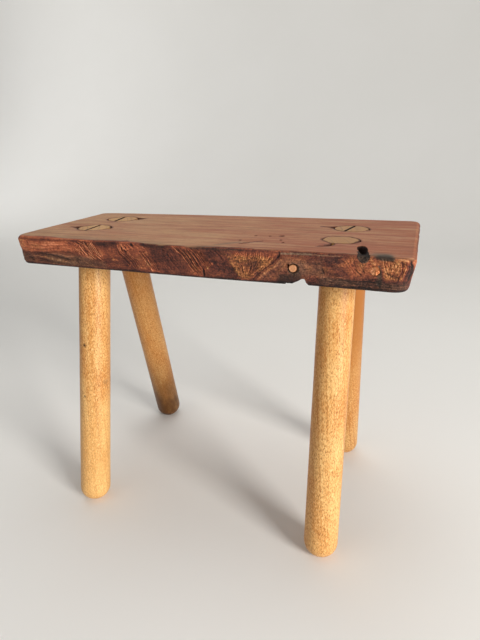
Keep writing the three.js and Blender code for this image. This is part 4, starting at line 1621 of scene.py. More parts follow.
    def dress(self, piece: bpy.types.Object, legs: Sequence["Leg"], hollows: "Hollows") -> None:
        """Paint the slab's colours from its own points and give it its finish.

        Args:
            piece: The slab.
            legs: The legs, round whose tenons a dark seam runs.
            hollows: The hollows, whose walls have colours of their own.
        """
        places = places_of(piece)
        x, y, z = places.T
        depth = SITTING_HEIGHT - z
        ring = self.ring(0.5) + SEAT_MIDDLE
        inset = inside_distance(places[:, :2], ring[::10])
        front = ease(y, -60.0, -75.0) * ease(inset, self.edge_reach, 9.0)
        tones = {"tone": 0.4 + 0.1 * Noise(Seed.TOP_TONE).over((x, 20.0), (y, 20.0), (z, 6.0), count=2),
                 "gold": np.full(len(x), 0.1), "grey": np.full(len(x), 0.15), "char": np.zeros(len(x))}
        near = front > 0
        behind = y - self.front_line(x)
        over = 0.5 * np.clip(behind, 0, 14) * ease(depth, 1.2, 0.4)
        local = self.edge.fields(x[near] - SEAT_MIDDLE[0], (depth - over)[near])
        ragged = 1 + 0.25 * Noise(Seed.BAND_BORDER).over((x, 7.0), count=3)
        band = through_knots(self.soft_band, x) * ragged
        begun = ease(behind, band - 1.0, band + 0.8)
        planed = ease(depth, 2.2, 0.5) * np.where(inset < self.edge_reach, begun, 1.0)
        for name, values in tones.items():
            values[near] = blend(values[near], local[name], front[near])
            on_top = sum(stain.weight(places[:, :2]) * getattr(stain, name) for stain in self.stains)
            values[:] = blend(values, on_top, planed)
        # Painted shade on the walls inside the slab's holes and cracks, not on the underside
        inner = ease(inset, 7.0, 9.0) * ease(SEAT_THICKNESS - depth, 0.3, 1.2)
        broken = hollows.in_trough(places)
        recess = hollows.in_recess(places)
        speckle = Noise(Seed.SPECKLE).over((x, 1.6), (y, 1.6), (z, 1.6), count=2)
        tones["tone"] = blend(tones["tone"], 0.24 + 0.26 * speckle, broken)
        tones["tone"] = blend(tones["tone"], 0.24 + 0.12 * speckle, recess)
        for name, share in (("grey", 1.0), ("gold", 0.0), ("char", 0.8 * broken * ease(depth, 4.2, 1.5))):
            tones[name] = blend(tones[name], share, np.maximum(broken, recess))
        seam = np.max([*[leg.seam(places) for leg in legs], hollows.around_cracks(places)], axis=0)
        seam *= ease(depth, 0.9, 0.3)
        paint(piece, Paint.PLANED.value, np.clip(planed * (1 - broken), 0, 1))
        paint(piece, Paint.HOLLOW.value, np.clip(inner * ease(depth, 0.15, 0.8) * (1 - broken), 0, 1))
        paint(piece, Paint.SEAM.value, seam)
        for name, values in tones.items():
            paint(piece, name, np.clip(values, 0, 1.2))
        finish_piece(piece, "seat_slab", SlabFinish().material(), 38.0)


# Legs and wedges


@dataclass
class Leg:
    """A round rod from its foot on the floor to its tenon in the sitting face.

    The kerf has its turn in degrees and its shift from the axis. Each split has the side that
    it faces, its length and its spread, each flat its facing and its distance from the axis,
    and each nick its height, its facing and its size. All angles are in degrees. The shares
    say how much painted shade darkens and yellows a leg, at its foot, up under the slab and
    on its shaded side, and how much painted light brightens its lower part. A positive end
    lighting paints light on the end grain and a negative one paints shade on it.
    """

    side: str
    tenon: Pair
    foot: Pair
    seed: int
    kerf: Pair | None = None
    splits: Sequence[tuple[float, float, float]] = ()
    flats: Sequence[Pair] = ()
    radius: float = 17.5
    foot_round: float = 16.0
    levelled: float = 1.0
    around: int = 96
    mouth_around: int = 180
    # Share of painted shade that darkens the foot
    foot_shade: float = 0.0
    # Shares of painted shade at the foot and up under the slab
    deep: Pair = (0.0, 0.06)
    # Share of painted shade on the side turned from the light
    side_shade: float = 0.45
    # Share of painted light on the lower leg
    painted_light: float = 0.0
    # Painted light on the end grain when positive, painted shade when negative
    end_lighting: float = 0.0
    nicks: Sequence[Triple] = ()
    wedge_sizes: Triple = (1.3, 0.6, 22.0)
    kerf_spare: float = 4.0

    def __post_init__(self) -> None:
        """Work out the leg's own axes from its two ends."""
        self.base = np.array([*self.foot, 0.0]) + [*SEAT_MIDDLE, 0.0]
        top = np.array([*self.tenon, SITTING_HEIGHT]) + [*SEAT_MIDDLE, 0.0]
        self.length = float(np.linalg.norm(top - self.base))
        self.axis = (top - self.base) / self.length
        turn = math.radians(self.kerf[0]) if self.kerf else 0.0
        across = np.array([-math.sin(turn), math.cos(turn), 0.0])
        across -= self.axis * across.dot(self.axis)
        self.across = across / np.linalg.norm(across)
        self.normal = np.cross(self.across, self.axis)
        self.lean = math.acos(self.axis[2])

    def spot(self, along: Array, radius: Array, angle: Array) -> Array:
        """A point at a height on the axis, a distance from it and an angle round it."""
        ray = np.cos(angle)[..., None] * self.normal + np.sin(angle)[..., None] * self.across
        return self.base + along[..., None] * self.axis + radius[..., None] * ray

    def girth(self, along: Array, angle: Array) -> Array:
        """Radius of the rod: round, pared by flats that fade out below the tenon's end.

        A flat at distance d, facing angle a, limits the radius to d / cos(angle - a).

        Args:
            along: Heights on the axis.
            angle: Angles round it.

        Returns:
            The radius at each.
        """
        radius = np.full(np.broadcast(along, angle).shape, self.radius)
        below = self.length - along
        for facing, distance in self.flats:
            away = np.cos(angle - math.radians(facing))
            limit = (distance + np.clip(below, 0, None) * 0.07) / np.maximum(away, 1e-3)
            radius = np.where(away > 0.2, np.minimum(radius, limit), radius)
        return radius

    def surface_wear(self, along: Array, angle: Array) -> Array:
        """The small unevenness that shaping by hand leaves, nearly all of it inward."""
        slow = Noise(self.seed).over(*circling(angle, 0.9), (along, 38.0), count=2)
        fine = Noise(self.seed + 1).over(*circling(angle, 0.35), (along, 9.0))
        return -0.12 + 0.1 * slow + 0.03 * fine

    def rod(self) -> Shell:
        """The leg's surface: rings up the axis, a rounded foot below and a flush end above.

        Up to the foot's rounding the rings follow a quarter circle from the axis outwards.
        Above it each ring is a share of the way to where the rod meets the sitting face.

        Returns:
            The rod's shell.
        """
        reach = self.radius - self.foot_round
        start = (self.foot_round + reach * math.sin(self.lean) - self.levelled) / math.cos(self.lean)
        start -= self.foot_round
        angle = np.linspace(0, TURN, self.around, endpoint=False)[None, :]
        rings = []
        for share in np.linspace(0.02, 1, 22):
            bend = share * math.pi / 2
            radius = reach * min(1.0, share * 6) + self.foot_round * math.sin(bend)
            along = np.full(angle.shape, start + self.foot_round * (1 - math.cos(bend)))
            wear = self.surface_wear(along, angle) * share
            rings.append(self.spot(along, radius + wear, angle))
        low = start + self.foot_round
        top = np.full(angle.shape, self.length)
        for _ in range(3):
            edge = self.spot(top, self.girth(top, angle), angle)
            top = top + (SITTING_HEIGHT - edge[..., 2]) / self.axis[2]
        steps = np.concatenate([np.linspace(0, 0.86, 150), np.linspace(0.86, 1, 40)[1:]])[:, None]
        along = low + (top - low) * steps
        radius = self.girth(along, angle) + self.surface_wear(along, angle)
        body = self.spot(along, radius, angle)
        body[-1, :, 2] = SITTING_HEIGHT - 0.04
        foot = np.vstack(rings)
        foot[..., 2] = np.maximum(foot[..., 2], 0.0)
        centre = self.base + self.axis * self.length
        shares = np.array([0.985, 0.96, 0.93, 0.85, 0.7, 0.55, 0.4, 0.25, 0.1])
        lid = centre + (body[-1] - centre) * shares[:, None, None]
        dish = 0.12 + 0.1 * Noise(self.seed + 3).over((lid[..., 0], 2.5), (lid[..., 1], 2.5), count=2)
        lid[..., 2] = SITTING_HEIGHT - np.clip(dish, 0.02, 0.4)
        return tube(np.vstack([foot, body[1:], lid])[::-1])

    def split_peaks(self, angle: Array) -> list[tuple[float, Array]]:
        """Each split's length, and a sharp peak from 0 to 1 in the angle round the axis.

        Args:
            angle: Angles round the axis.

        Returns:
            A length and a peak for each split.
        """
        peaks = []
        for facing, length, spread in self.splits:
            away = np.abs((np.degrees(angle) - facing + 180) % 360 - 180) / spread
            peaks.append((length, np.clip(1 - away, 0, 1) ** 1.6))
        return peaks

    def mortise(self) -> Shell:
        """The hole that the leg goes through: the rod with its gap, and splits at the mouth.

        A split adds its length times a sharp peak in the angle round the axis, and fades
        out below the sitting face.

        Returns:
            The cutter.
        """
        angle = np.linspace(0, TURN, self.mouth_around, endpoint=False)[None, :]
        steps = [20, *np.linspace(5, -5, 15), *np.linspace(-6.5, -16, 6), -30, -SEAT_THICKNESS - 20]
        along = self.length + np.array(steps)[:, None]
        radius = self.girth(along, angle) + JOINT_GAP
        below = SITTING_HEIGHT - self.spot(along, radius, angle)[..., 2]
        rough = Noise(self.seed + 5).over(*circling(angle, 0.3))
        radius = radius + 0.6 * np.clip(0.35 + rough, 0, 1) * ease(below, 1.6, 0.0)
        fade = ease(self.length - along, 15.0, 3.0)
        for length, peak in self.split_peaks(angle):
            radius = radius + fade * length * peak
        return tube(self.spot(along, radius, angle))

    def slip(self, top: float, tip: float, depth: float, width: float, over: float, rings: int) -> Array:
        """Rings of a tapered slip in the leg's kerf, top ring first.

        Args:
            top: Its thickness at the sitting face.
            tip: Its thickness at its lower end.
            depth: How deep it goes.
            width: Half of its width.
            over: How far it stands above the sitting face.
            rings: How many rings.

        Returns:
            A (rings, around, 3) array.
        """
        sides = np.linspace(-1, 1, 25)
        offset = np.concatenate([np.ones(25), -np.ones(25)])
        spread = np.concatenate([-sides, sides])
        sideways = self.kerf[1] * self.normal - (width * spread)[:, None] * self.across
        centre = self.base + self.axis * self.length
        highest = (over - sideways[:, 2]) / self.axis[2]
        share = np.linspace(0, 1, rings)[:, None]
        heights = highest + (-depth - highest) * share
        half = (tip + (top - tip) * (heights + depth) / depth) / 2
        return (centre + sideways + heights[..., None] * self.axis
                + (half * offset)[..., None] * self.normal)

    def wedge(self) -> Shell:
        """The wedge: a slip as wide as the tenon, its top crushed a little under the sitting face.

        Returns:
            The wedge's shell.
        """
        half = math.sqrt(self.radius**2 - self.kerf[1] ** 2) - 0.35
        points = self.slip(*self.wedge_sizes, half, -0.4, 20)
        rough = 0.25 * Noise(self.seed + 9).over((points[0, :, 0], 1.5), (points[0, :, 1], 1.5), count=2)
        points[0, :, 2] = SITTING_HEIGHT - 1.0 + rough
        return tube(points)

    def seam(self, places: Array) -> Array:
        """1 at the edge of the mortise's mouth, falling to 0 a little way from it.

        Args:
            places: The points, in millimetres in the frame.

        Returns:
            The share at each point.
        """
        local = places - self.base
        ahead, sideways = local @ self.normal, local @ self.across
        angle = np.arctan2(sideways, ahead)
        gap = np.hypot(ahead, sideways) - self.girth(local @ self.axis, angle)
        for length, peak in self.split_peaks(angle):
            gap = np.minimum(gap, np.maximum(gap - length * peak, 0.9 * (gap > 0.9)))
        return ease(gap, 3.0, 1.0)

    def paint_wear(self, piece: bpy.types.Object, local: Array) -> None:
        """Paint the end grain, the dirty rim, the nicks, and painted shade and light on the leg.

        Args:
            piece: The leg.
            local: Its points, from the middle of its foot.
        """
        height = places_of(piece)[:, 2]
        ahead, sideways, along = local @ self.normal, local @ self.across, local @ self.axis
        end = ease(height, SITTING_HEIGHT - 1.2, SITTING_HEIGHT - 0.45)
        angle = np.arctan2(sideways, ahead)
        reach = np.hypot(ahead, sideways)
        rim = ease(self.girth(along, angle) - reach, 1.5, 0.3)
        patchy = ease(Noise(self.seed + 8).over((angle, 0.5), (reach, 3.0), count=2), -0.5, 0.3)
        kerf = self.kerf[1] if self.kerf else math.inf
        # The kerf's walls near the top, painted dark as shade in the slit
        sawn = ease(np.abs(ahead - kerf), 1.5, 1.25)
        # Painted shade darkening the foot; the nicks added below are real stains
        stain = self.foot_shade * ease(height, 130.0, 10.0)
        for at, facing, size in self.nicks:
            swing = np.abs(np.angle(np.exp(1j * (angle - math.radians(facing)))))
            stain = stain + 1.4 * ease(np.hypot(along - at, self.radius * swing), size, 0.4 * size)
        paint(piece, "end", end)
        paint(piece, "rim", end * rim * patchy)
        paint(piece, "sawn", sawn * ease(height, SITTING_HEIGHT - 40, SITTING_HEIGHT - 30))
        paint(piece, "stain", stain)
        # Painted light on the lower leg and on lightened end grain; painted shade on darkened end grain
        paint(piece, "painted_light", self.painted_light * ease(height, 170.0, 60.0) + end * max(self.end_lighting, 0))
        paint(piece, "painted_end_shade", end * max(-self.end_lighting, 0))
        # Painted shade: most on the side turned from the light, a little on the far edge
        turned = (local - along[:, None] * self.axis)[:, :2] @ SHADED_SIDE / np.maximum(reach, 1.0)
        side_shade = self.side_shade * (ease(turned, 0.4, 0.97) + 0.5 * ease(turned, -0.75, -1.0))
        # The deep share is painted shade, rising towards the slab, plus the side's painted shade
        paint(piece, "deep", np.clip(blend(*self.deep, ease(height, 20, 250)) + side_shade, 0, 1) * (1 - end))

    def build(self, finish: bpy.types.Material, wedge_finish: bpy.types.Material) -> None:
        """Make the leg and its wedge, and dress them.

        Args:
            finish: The leg's finish.
            wedge_finish: The wedge's.
        """
        name = f"leg_{self.side}"
        piece = piece_from(f"{name}_rod", self.rod().mesh(f"{name}_rod"))
        if self.kerf:
            top, tip, depth = self.wedge_sizes
            spare = 2 * JOINT_GAP
            cutter = self.slip(top + spare + 0.5, tip + spare, depth + self.kerf_spare,
                               self.radius * 2, 15.0, 8)
            carve(piece, [tube(cutter)])
            wedge = piece_from(f"wedge_{self.side}_slip", self.wedge().mesh(f"wedge_{self.side}_slip"))
            finish_piece(wedge, f"wedge_{self.side}", wedge_finish, 40.0)
        local = places_of(piece) - self.base
        grain = np.column_stack([local @ self.normal, local @ self.across, local @ self.axis])
        shift = np.array([7.0, 3.0, 91.0]) * self.seed
        paint(piece, "grain", (grain + shift) * MM)
        self.paint_wear(piece, local)
        finish_piece(piece, name, finish, 35.0)


# Small parts and hollows


@dataclass
class EdgeDowel:
    """A short dowel let into the front edge, and its hole.

    Its place is given along the seat and below the sitting face. Ragged is how deep its end is
    torn, knob the share of its radius that the pared end keeps, and sunk how far it sits in.
    """

    name: str
    along: float
    below: float
    diameter: float
    hole: float
    ragged: float
    dirt: float
    hole_shift: Pair = (0.0, 0.0)
    knob: float = 1.0
    lit: float = 0.0
    length: float = 45.0
    sunk: float = 0.5
    around: int = 48

    def mouth(self, seat: SeatSlab) -> float:
        """The Y at which the dowel starts."""
        return seat.front_at(self.along, self.below) + self.sunk

    def bar(self, radii: Array, depths: Array, y: float, x: float, z: float) -> Array:
        """Rings of a round bar across the seat, front ring first.

        Args:
            radii: The rings' radii.
            depths: How far behind the start they lie.
            y: The bar's start.
            x: Its place along the seat.
            z: Its height.

        Returns:
            A (rings, around, 3) array.
        """
        angle = np.linspace(0, TURN, self.around, endpoint=False)
        out = radii[:, None]
        return stacked(x + out * np.cos(angle), y + depths[:, None], z + out * np.sin(angle))

    def shell(self, seat: SeatSlab) -> Shell:
        """The dowel: a bar whose front end is pared to a many-sided knob and roughly broken off.

        Args:
            seat: The slab that holds it.

        Returns:
            The dowel's shell.
        """
        radius = self.diameter / 2
        end = np.array([0.1, 0.25, 0.4, 0.55, 0.68, 0.78, 0.86]) * self.knob
        shoulder = np.linspace(radius * self.knob, radius, 4)[1:]
        radii = np.concatenate([radius * end, radius * self.knob * np.array([0.94, 1.0]), shoulder,
                                np.full(7, radius - 0.02), [radius - 0.6]])
        depths = np.concatenate([np.zeros(7), [0.3, 0.9, 1.6, 2.4, 3.2],
                                 np.linspace(4.0, self.length - 0.6, 7), [self.length]])
        rings = self.bar(radii, depths, self.mouth(seat), self.along, SITTING_HEIGHT - self.below)
        x, z = rings[..., 0] - self.along, rings[..., 2] - SITTING_HEIGHT + self.below
        out = np.hypot(x, z)
        facets = Noise(Seed.DOWEL_FACETS).over((x / out, 0.5), (z / out, 0.5))
        facets = 1 - 0.09 * ease(facets, -0.3, 0.8)
        rings[:10, :, 0] = self.along + (x * facets)[:10]
        rings[:10, :, 2] = SITTING_HEIGHT - self.below + (z * facets)[:10]
        cut = Noise(Seed.DOWEL_CUT).over((x, 1.1), (z, 1.1), count=3)
        dish = 1 - ease(np.hypot(x + 0.2 * radius, z) / radius, 0.2, 0.8)
        sunk = self.ragged * (0.4 + 0.45 * cut + 0.5 * dish - 0.45 * x / radius)
        rings[:8, :, 1] += np.clip(sunk, -self.sunk, None)[:8]
        return tube(rings)

    def bore(self, seat: SeatSlab) -> Shell:
        """The blind hole round the dowel, with a worn dish at its mouth.

        Args:
            seat: The slab that holds it.

        Returns:
            The cutter.
        """
        snug = self.diameter / 2 + JOINT_GAP
        depths = np.array([-12, -1, 0.2, 0.5, 0.8, 1.1, 1.3, 5, 12, 30, self.length + 0.4])
        worn = np.clip((1.2 - depths) / 1.2, 0, 1) ** 0.6
        radii = blend(snug, self.hole / 2, worn)
        rings = self.bar(radii, depths, self.mouth(seat), self.along, SITTING_HEIGHT - self.below)
        rings[..., 0] += self.hole_shift[0] * worn[:, None]
        rings[..., 2] += self.hole_shift[1] * worn[:, None]
        return tube(rings)

    def gap(self, seat: SeatSlab) -> Shell:
        """A short slanting hole beside the dowel, where the bit first wandered.

        Args:
            seat: The slab that holds it.

        Returns:
            The cutter.
        """
        depths = np.array([-8.0, 0.0, 2.0, 6.0])
        radii = np.array([2.0, 1.9, 1.6, 0.9])
        x = self.along - 1.02 * self.diameter / 2
        z = SITTING_HEIGHT - self.below + 0.62 * self.diameter / 2
        return tube(self.bar(radii, depths, self.mouth(seat), x, z))

    def build(self, seat: SeatSlab, finish: bpy.types.Material) -> None:
        """Make the dowel and dress it.

        Args:
            seat: The slab that holds it.
            finish: The dowel's finish.
        """
        piece = piece_from(f"{self.name}_pin", self.shell(seat).mesh(f"{self.name}_pin"))
        x, _, z = places_of(piece).T
        x, z = x - self.along, z - SITTING_HEIGHT + self.below
        reach = np.hypot(x, z) / self.diameter * 2
        dark = self.dirt * ease(reach, 0.8 * self.knob, self.knob)
        # The torn outer dowel's left side, away from the light: painted shade
        if self.ragged > 1:
            dark = dark + 0.06 + ease(x, 0.1 * self.diameter, -0.45 * self.diameter) * 0.3
        paint(piece, "rim", np.clip(dark, 0, 1))
        paint(piece, "lit", self.lit * ease(x, -0.15 * self.diameter, 0.3 * self.diameter))
        finish_piece(piece, self.name, finish, 45.0)


@dataclass
class Hollows:
    """The knothole with its break, the cracks, the chip and the small pits of the slab.

    The break starts behind the knothole's front and widens and deepens forwards. Each crack is
    a path of places with half its width there, and a depth. Each pit has its place, half its
    length and half its width.
    """

    dowels: Sequence[EdgeDowel]
    knot: Pair = (158.9, -68.6)
    knot_turn: float = 11.0
    knot_depth: float = 19.0
    boxiness: float = 2.3
    break_back: float = -77.0
    break_middle: float = 160.2
    break_turn: float = 9.0
    break_widths: Pair = (4.3, 4.6)
    break_slope: float = 0.36
    cracks: Sequence[tuple[Sequence[Triple], float]] = (
        (((130.9, -49.8, 1.2), (130.7, -54, 1.9), (130.0, -58.5, 2.9), (127.6, -62.5, 2.9),
          (124.6, -65.5, 2.1), (119.6, -69, 0.4)), 10.0),
        (((146.5, -50, 0.3), (150.6, -44.5, 0.9), (153, -38, 1.0), (152.6, -31, 0.25)), 3.0),
        (((-172, -35.6, 0.3), (-166, -36.4, 1.3), (-160, -37.2, 2.2), (-155, -37.5, 2.6)), 6.0),
        (((103, 33.8, 0.2), (109.5, 32.8, 1.1), (116, 32.4, 2.4), (122, 32.2, 3.0)), 7.0),
        (((48.4, -74.9, 0.3), (50.1, -73.5, 1.6), (52.6, -71.1, 1.5), (56.0, -67.6, 0.3)), 1.8),
        (((56.0, -67.6, 0.1), (61.0, -62.6, 0.35), (66.0, -58.2, 0.1)), 0.8),
    )
    chip: Sequence[Pair] = ((95.6, -3), (96.4, 0.3), (97.6, 1.7), (99.0, 1.3), (101, 1.6), (103.0, 1.3),
                            (106.1, 3.0), (108.9, 4.5), (111.4, 6.0), (112.9, 7.0), (113.4, 6.9),
                            (114.2, 5.2), (115.0, 3.0), (116.4, 1.5), (118.0, -0.2), (119.2, -3))
    chip_depth: float = 22.0
    pits: Sequence[tuple[float, float, float, float]] = ((76.6, -29.4, 2.8, 3.2), (65.4, -32.8, 1.5, 1.7),
                                                         (51, -34.2, 1.6, 1.6), (81.3, -50.0, 1.3, 1.8),
                                                         (86.2, -60.4, 1.2, 1.8), (43.6, -59.8, 1.2, 1.4))

    def knothole(self) -> Shell:
        """A deep long hole with rough walls, narrowing and leaning forward as it goes down.

        Its outline lies between an oval and a box, times one plus noise over angle and depth.

        Returns:
            The cutter.
        """
        angle = np.linspace(0, TURN, 72, endpoint=False)[None, :]
        depth = np.concatenate([[-6.0], np.linspace(0, self.knot_depth, 22)])[:, None]
        share = np.clip(depth / self.knot_depth, 0, 1)
        boxy = np.abs(np.cos(angle)) ** self.boxiness + np.abs(np.sin(angle)) ** self.boxiness
        boxy = boxy ** (-1 / self.boxiness)
        width = blend(4.6, 2.4, share**1.4) * boxy
        length = blend(13.4, 7.0, share**1.2) * boxy
        rough = Noise(Seed.KNOT_WALL).over(*circling(angle, 0.45), (depth, 3.0), count=2)
        rough = 1 + (0.02 + 0.07 * ease(depth, 0.5, 3)) * rough
        turn = math.radians(self.knot_turn)
        along, across = np.sin(angle) * length * rough, np.cos(angle) * width * rough
        x = self.knot[0] + across * math.cos(turn) - along * math.sin(turn)
        y = self.knot[1] + across * math.sin(turn) + along * math.cos(turn) - 1.5 * share
        return tube(stacked(x, y, SITTING_HEIGHT - depth))

    def break_shape(self, y: Array) -> tuple[Array, Array, Array]:
        """The break's middle, half width and depth at places across the seat.

        Args:
            y: The places.

        Returns:
            The three values at each place.
        """
        ahead = self.break_back - y
        return (self.break_middle + math.tan(math.radians(self.break_turn)) * ahead,
                blend(self.break_widths[0], self.break_widths[1], np.clip(ahead / 14, 0, 1)),
                0.6 + self.break_slope * np.clip(ahead, 0, None))

    def trough(self) -> Shell:
        """The break from the knothole out through the front arris.

        Its rings stand across the seat's length, half ovals below the sitting face, times one
        plus noise over their place and angle.

        Returns:
            The cutter.
        """
        y = np.linspace(self.break_back - 28, self.break_back, 60)
        angle = np.linspace(0, TURN, 72, endpoint=False)[None, :]
        middle, half, depth = (values[:, None] for values in self.break_shape(y))
        y = y[:, None]
        rough = Noise(Seed.BREAK_WALL).over(*circling(angle, 0.3), (y, 2.2), count=3)
        rough = 1 + 0.1 * rough
        x = middle + half * rough * np.cos(angle)
        rise = np.where(np.sin(angle) > 0, 8.0, depth * rough) * np.sin(angle)
        return tube(stacked(x, y, SITTING_HEIGHT + rise))

    def in_trough(self, places: Array) -> Array:
        """1 on the walls of the break, 0 elsewhere.

        Args:
            places: The points, in millimetres in the frame.

        Returns:
            The share at each point.
        """
        middle, half, depth = self.break_shape(places[:, 1])
        below = SITTING_HEIGHT - places[:, 2]
        reach = np.hypot((places[:, 0] - middle) / half, below / depth)
        start = ease(places[:, 1], self.break_back, self.break_back - 2)
        return ease(reach, 1.22, 1.1) * ease(below, 0.02, 0.3) * start

    def around_cracks(self, places: Array) -> Array:
        """1 in and right beside the cracks and pits of the sitting face, 0 away from them.

        Args:
            places: The points, in millimetres in the frame.

        Returns:
            The share at each point.
        """
        flat = places[:, :2] - SEAT_MIDDLE
        dark = np.zeros(len(flat))
        for path, _ in self.cracks:
            x, y, half = np.array(path, float).T
            distance, along = path_distance(flat, np.column_stack([x, y]))
            reach = np.interp(along, np.linspace(0, 1, len(half)), half)
            dark = np.maximum(dark, ease(distance, reach + 1.7, reach + 0.5))
        for x, y, half_length, half_width in self.pits:
            reach = np.hypot((flat[:, 0] - x) / half_length, (flat[:, 1] - y) / half_width)
            dark = np.maximum(dark, ease(reach, 1.3, 0.9))
        return dark

    def in_recess(self, places: Array) -> Array:
        """1 on the worn dish round the inner dowel, 0 elsewhere.

        Args:
            places: The points, in millimetres in the frame.

        Returns:
            The share at each point.
        """
        dowel = self.dowels[0]
        x = places[:, 0] - dowel.along - dowel.hole_shift[0]
        z = places[:, 2] - SITTING_HEIGHT + dowel.below - dowel.hole_shift[1]
        reach = np.hypot(x, z) - dowel.hole / 2
        return ease(reach, 0.35, 0.1) * ease(places[:, 1], -60, -70)

    @staticmethod
    def crack(path: Sequence[Triple], depth: float) -> Shell:
        """An open crack: a slit along a path, as wide as given at each point, narrowing downwards.

        Args:
            path: Points of place along, place across and half of the width.
            depth: How deep it goes.

        Returns:
            The cutter.
        """
        x, y, half = np.array(path, float).T
        fine = np.linspace(0, 1, 30)
        knots = np.linspace(0, 1, len(x))
        spine = np.column_stack([through_knots(list(zip(knots, values)), fine) for values in (x, y)])
        uneven = 1 + 0.2 * Noise(Seed.CRACK_WIDTH).over((fine, 0.06), count=2)
        half = np.interp(fine, knots, half) * uneven
        along = np.gradient(spine, axis=0)
        along /= np.linalg.norm(along, axis=1)[:, None]
        side = np.column_stack([-along[:, 1], along[:, 0]]) * half[:, None]
        stages = ((-5.0, 1.15), (0.0, 1.0), (0.4, 0.97), (0.9, 0.92), (0.45 * depth, 0.7),
                  (0.8 * depth, 0.35), (depth, 0.08))
        rings = []
        for below, share in stages:
            flat = np.vstack([spine - share * side, (spine + share * side)[::-1]])
            rings.append(stacked(*flat.T, SITTING_HEIGHT - below))
        return tube(np.array(rings))

    def chipped(self, seat: SeatSlab) -> Shell:
        """The chip in the lower front edge: a block whose ceiling is rough and slopes down inwards.

        Args:
            seat: The slab that it is broken out of.

        Returns:
            The cutter.
        """
        outline = np.array(self.chip)
        x = np.linspace(outline[0, 0], outline[-1, 0], 64)
        ceiling = np.interp(x, outline[:, 0], outline[:, 1])
        y = seat.front_at(108, SEAT_THICKNESS) + np.linspace(-14, self.chip_depth, 26)
        height = ceiling[None, :] - 0.1 * np.clip(y - y[14], 0, None)[:, None]
        rough = Noise(Seed.CHIP_CEILING).over((x[None, :], 1.6), (y[:, None], 2.2), count=2)
        height = height + 0.2 * rough
        height[:, [0, -1]] = -3.0
        grid = stacked(x[None, :], y[:, None], UNDERSIDE_HEIGHT + height)
        shell = Shell()
        shell.add_grid(grid[::-1])
        low = grid.copy()
        low[..., 2] = UNDERSIDE_HEIGHT - 8
        shell.add_grid(low)
        sides = ((grid[0], low[0]), (low[-1], grid[-1]),
                 (low[:, 0], grid[:, 0]), (grid[:, -1], low[:, -1]))
        for upper, lower in sides:
            shell.add_grid(np.stack([upper, lower]))
        return shell

    def pit(self, x: float, y: float, half_length: float, half_width: float) -> Shell:
        """A small pit torn along the grain: a flattened egg with pointed ends.

        Args:
            x: Its place along the seat.
            y: Its place across it.
            half_length: Half of its length.
            half_width: Half of its width.

        Returns:
            The cutter.
        """
        angle = np.linspace(0, TURN, 16, endpoint=False)[None, :]
        swing = np.linspace(0.1, math.pi - 0.1, 9)[:, None]
        out = np.sin(swing)
        return tube(stacked(x + half_length * out * np.cos(angle), y + half_width * out * np.sin(angle),
                            SITTING_HEIGHT + 0.9 * np.cos(swing)))

    def shells(self, seat: SeatSlab) -> list[Shell]:
        """Every hollow.

        Args:
            seat: The slab.

        Returns:
            The cutters.
        """
        cracks = [self.crack(path, depth) for path, depth in self.cracks]
        pits = [self.pit(*pit) for pit in self.pits]
        bores = [dowel.bore(seat) for dowel in self.dowels] + [self.dowels[0].gap(seat)]
        return [self.knothole(), self.trough(), self.chipped(seat), *cracks, *pits, *bores]


# The room


def looking(ahead: Array, place: Triple, roll: float = 0.0) -> Matrix:
    """Stand something at a place, facing ahead.

    Args:
        ahead: The unit vector that it faces along.
        place: Where it stands, in metres.
        roll: Its turn about that vector, in degrees.

    Returns:
        The object's matrix.
    """
    right = np.cross(ahead, [0.0, 0.0, 1.0])
    right /= np.linalg.norm(right)
    up = np.cross(right, ahead)
    cos, sin = math.cos(math.radians(roll)), math.sin(math.radians(roll))
    matrix = np.eye(4)
    matrix[:3] = np.column_stack([right * cos + up * sin, up * cos - right * sin, -ahead, place])
    return Matrix(matrix.tolist())


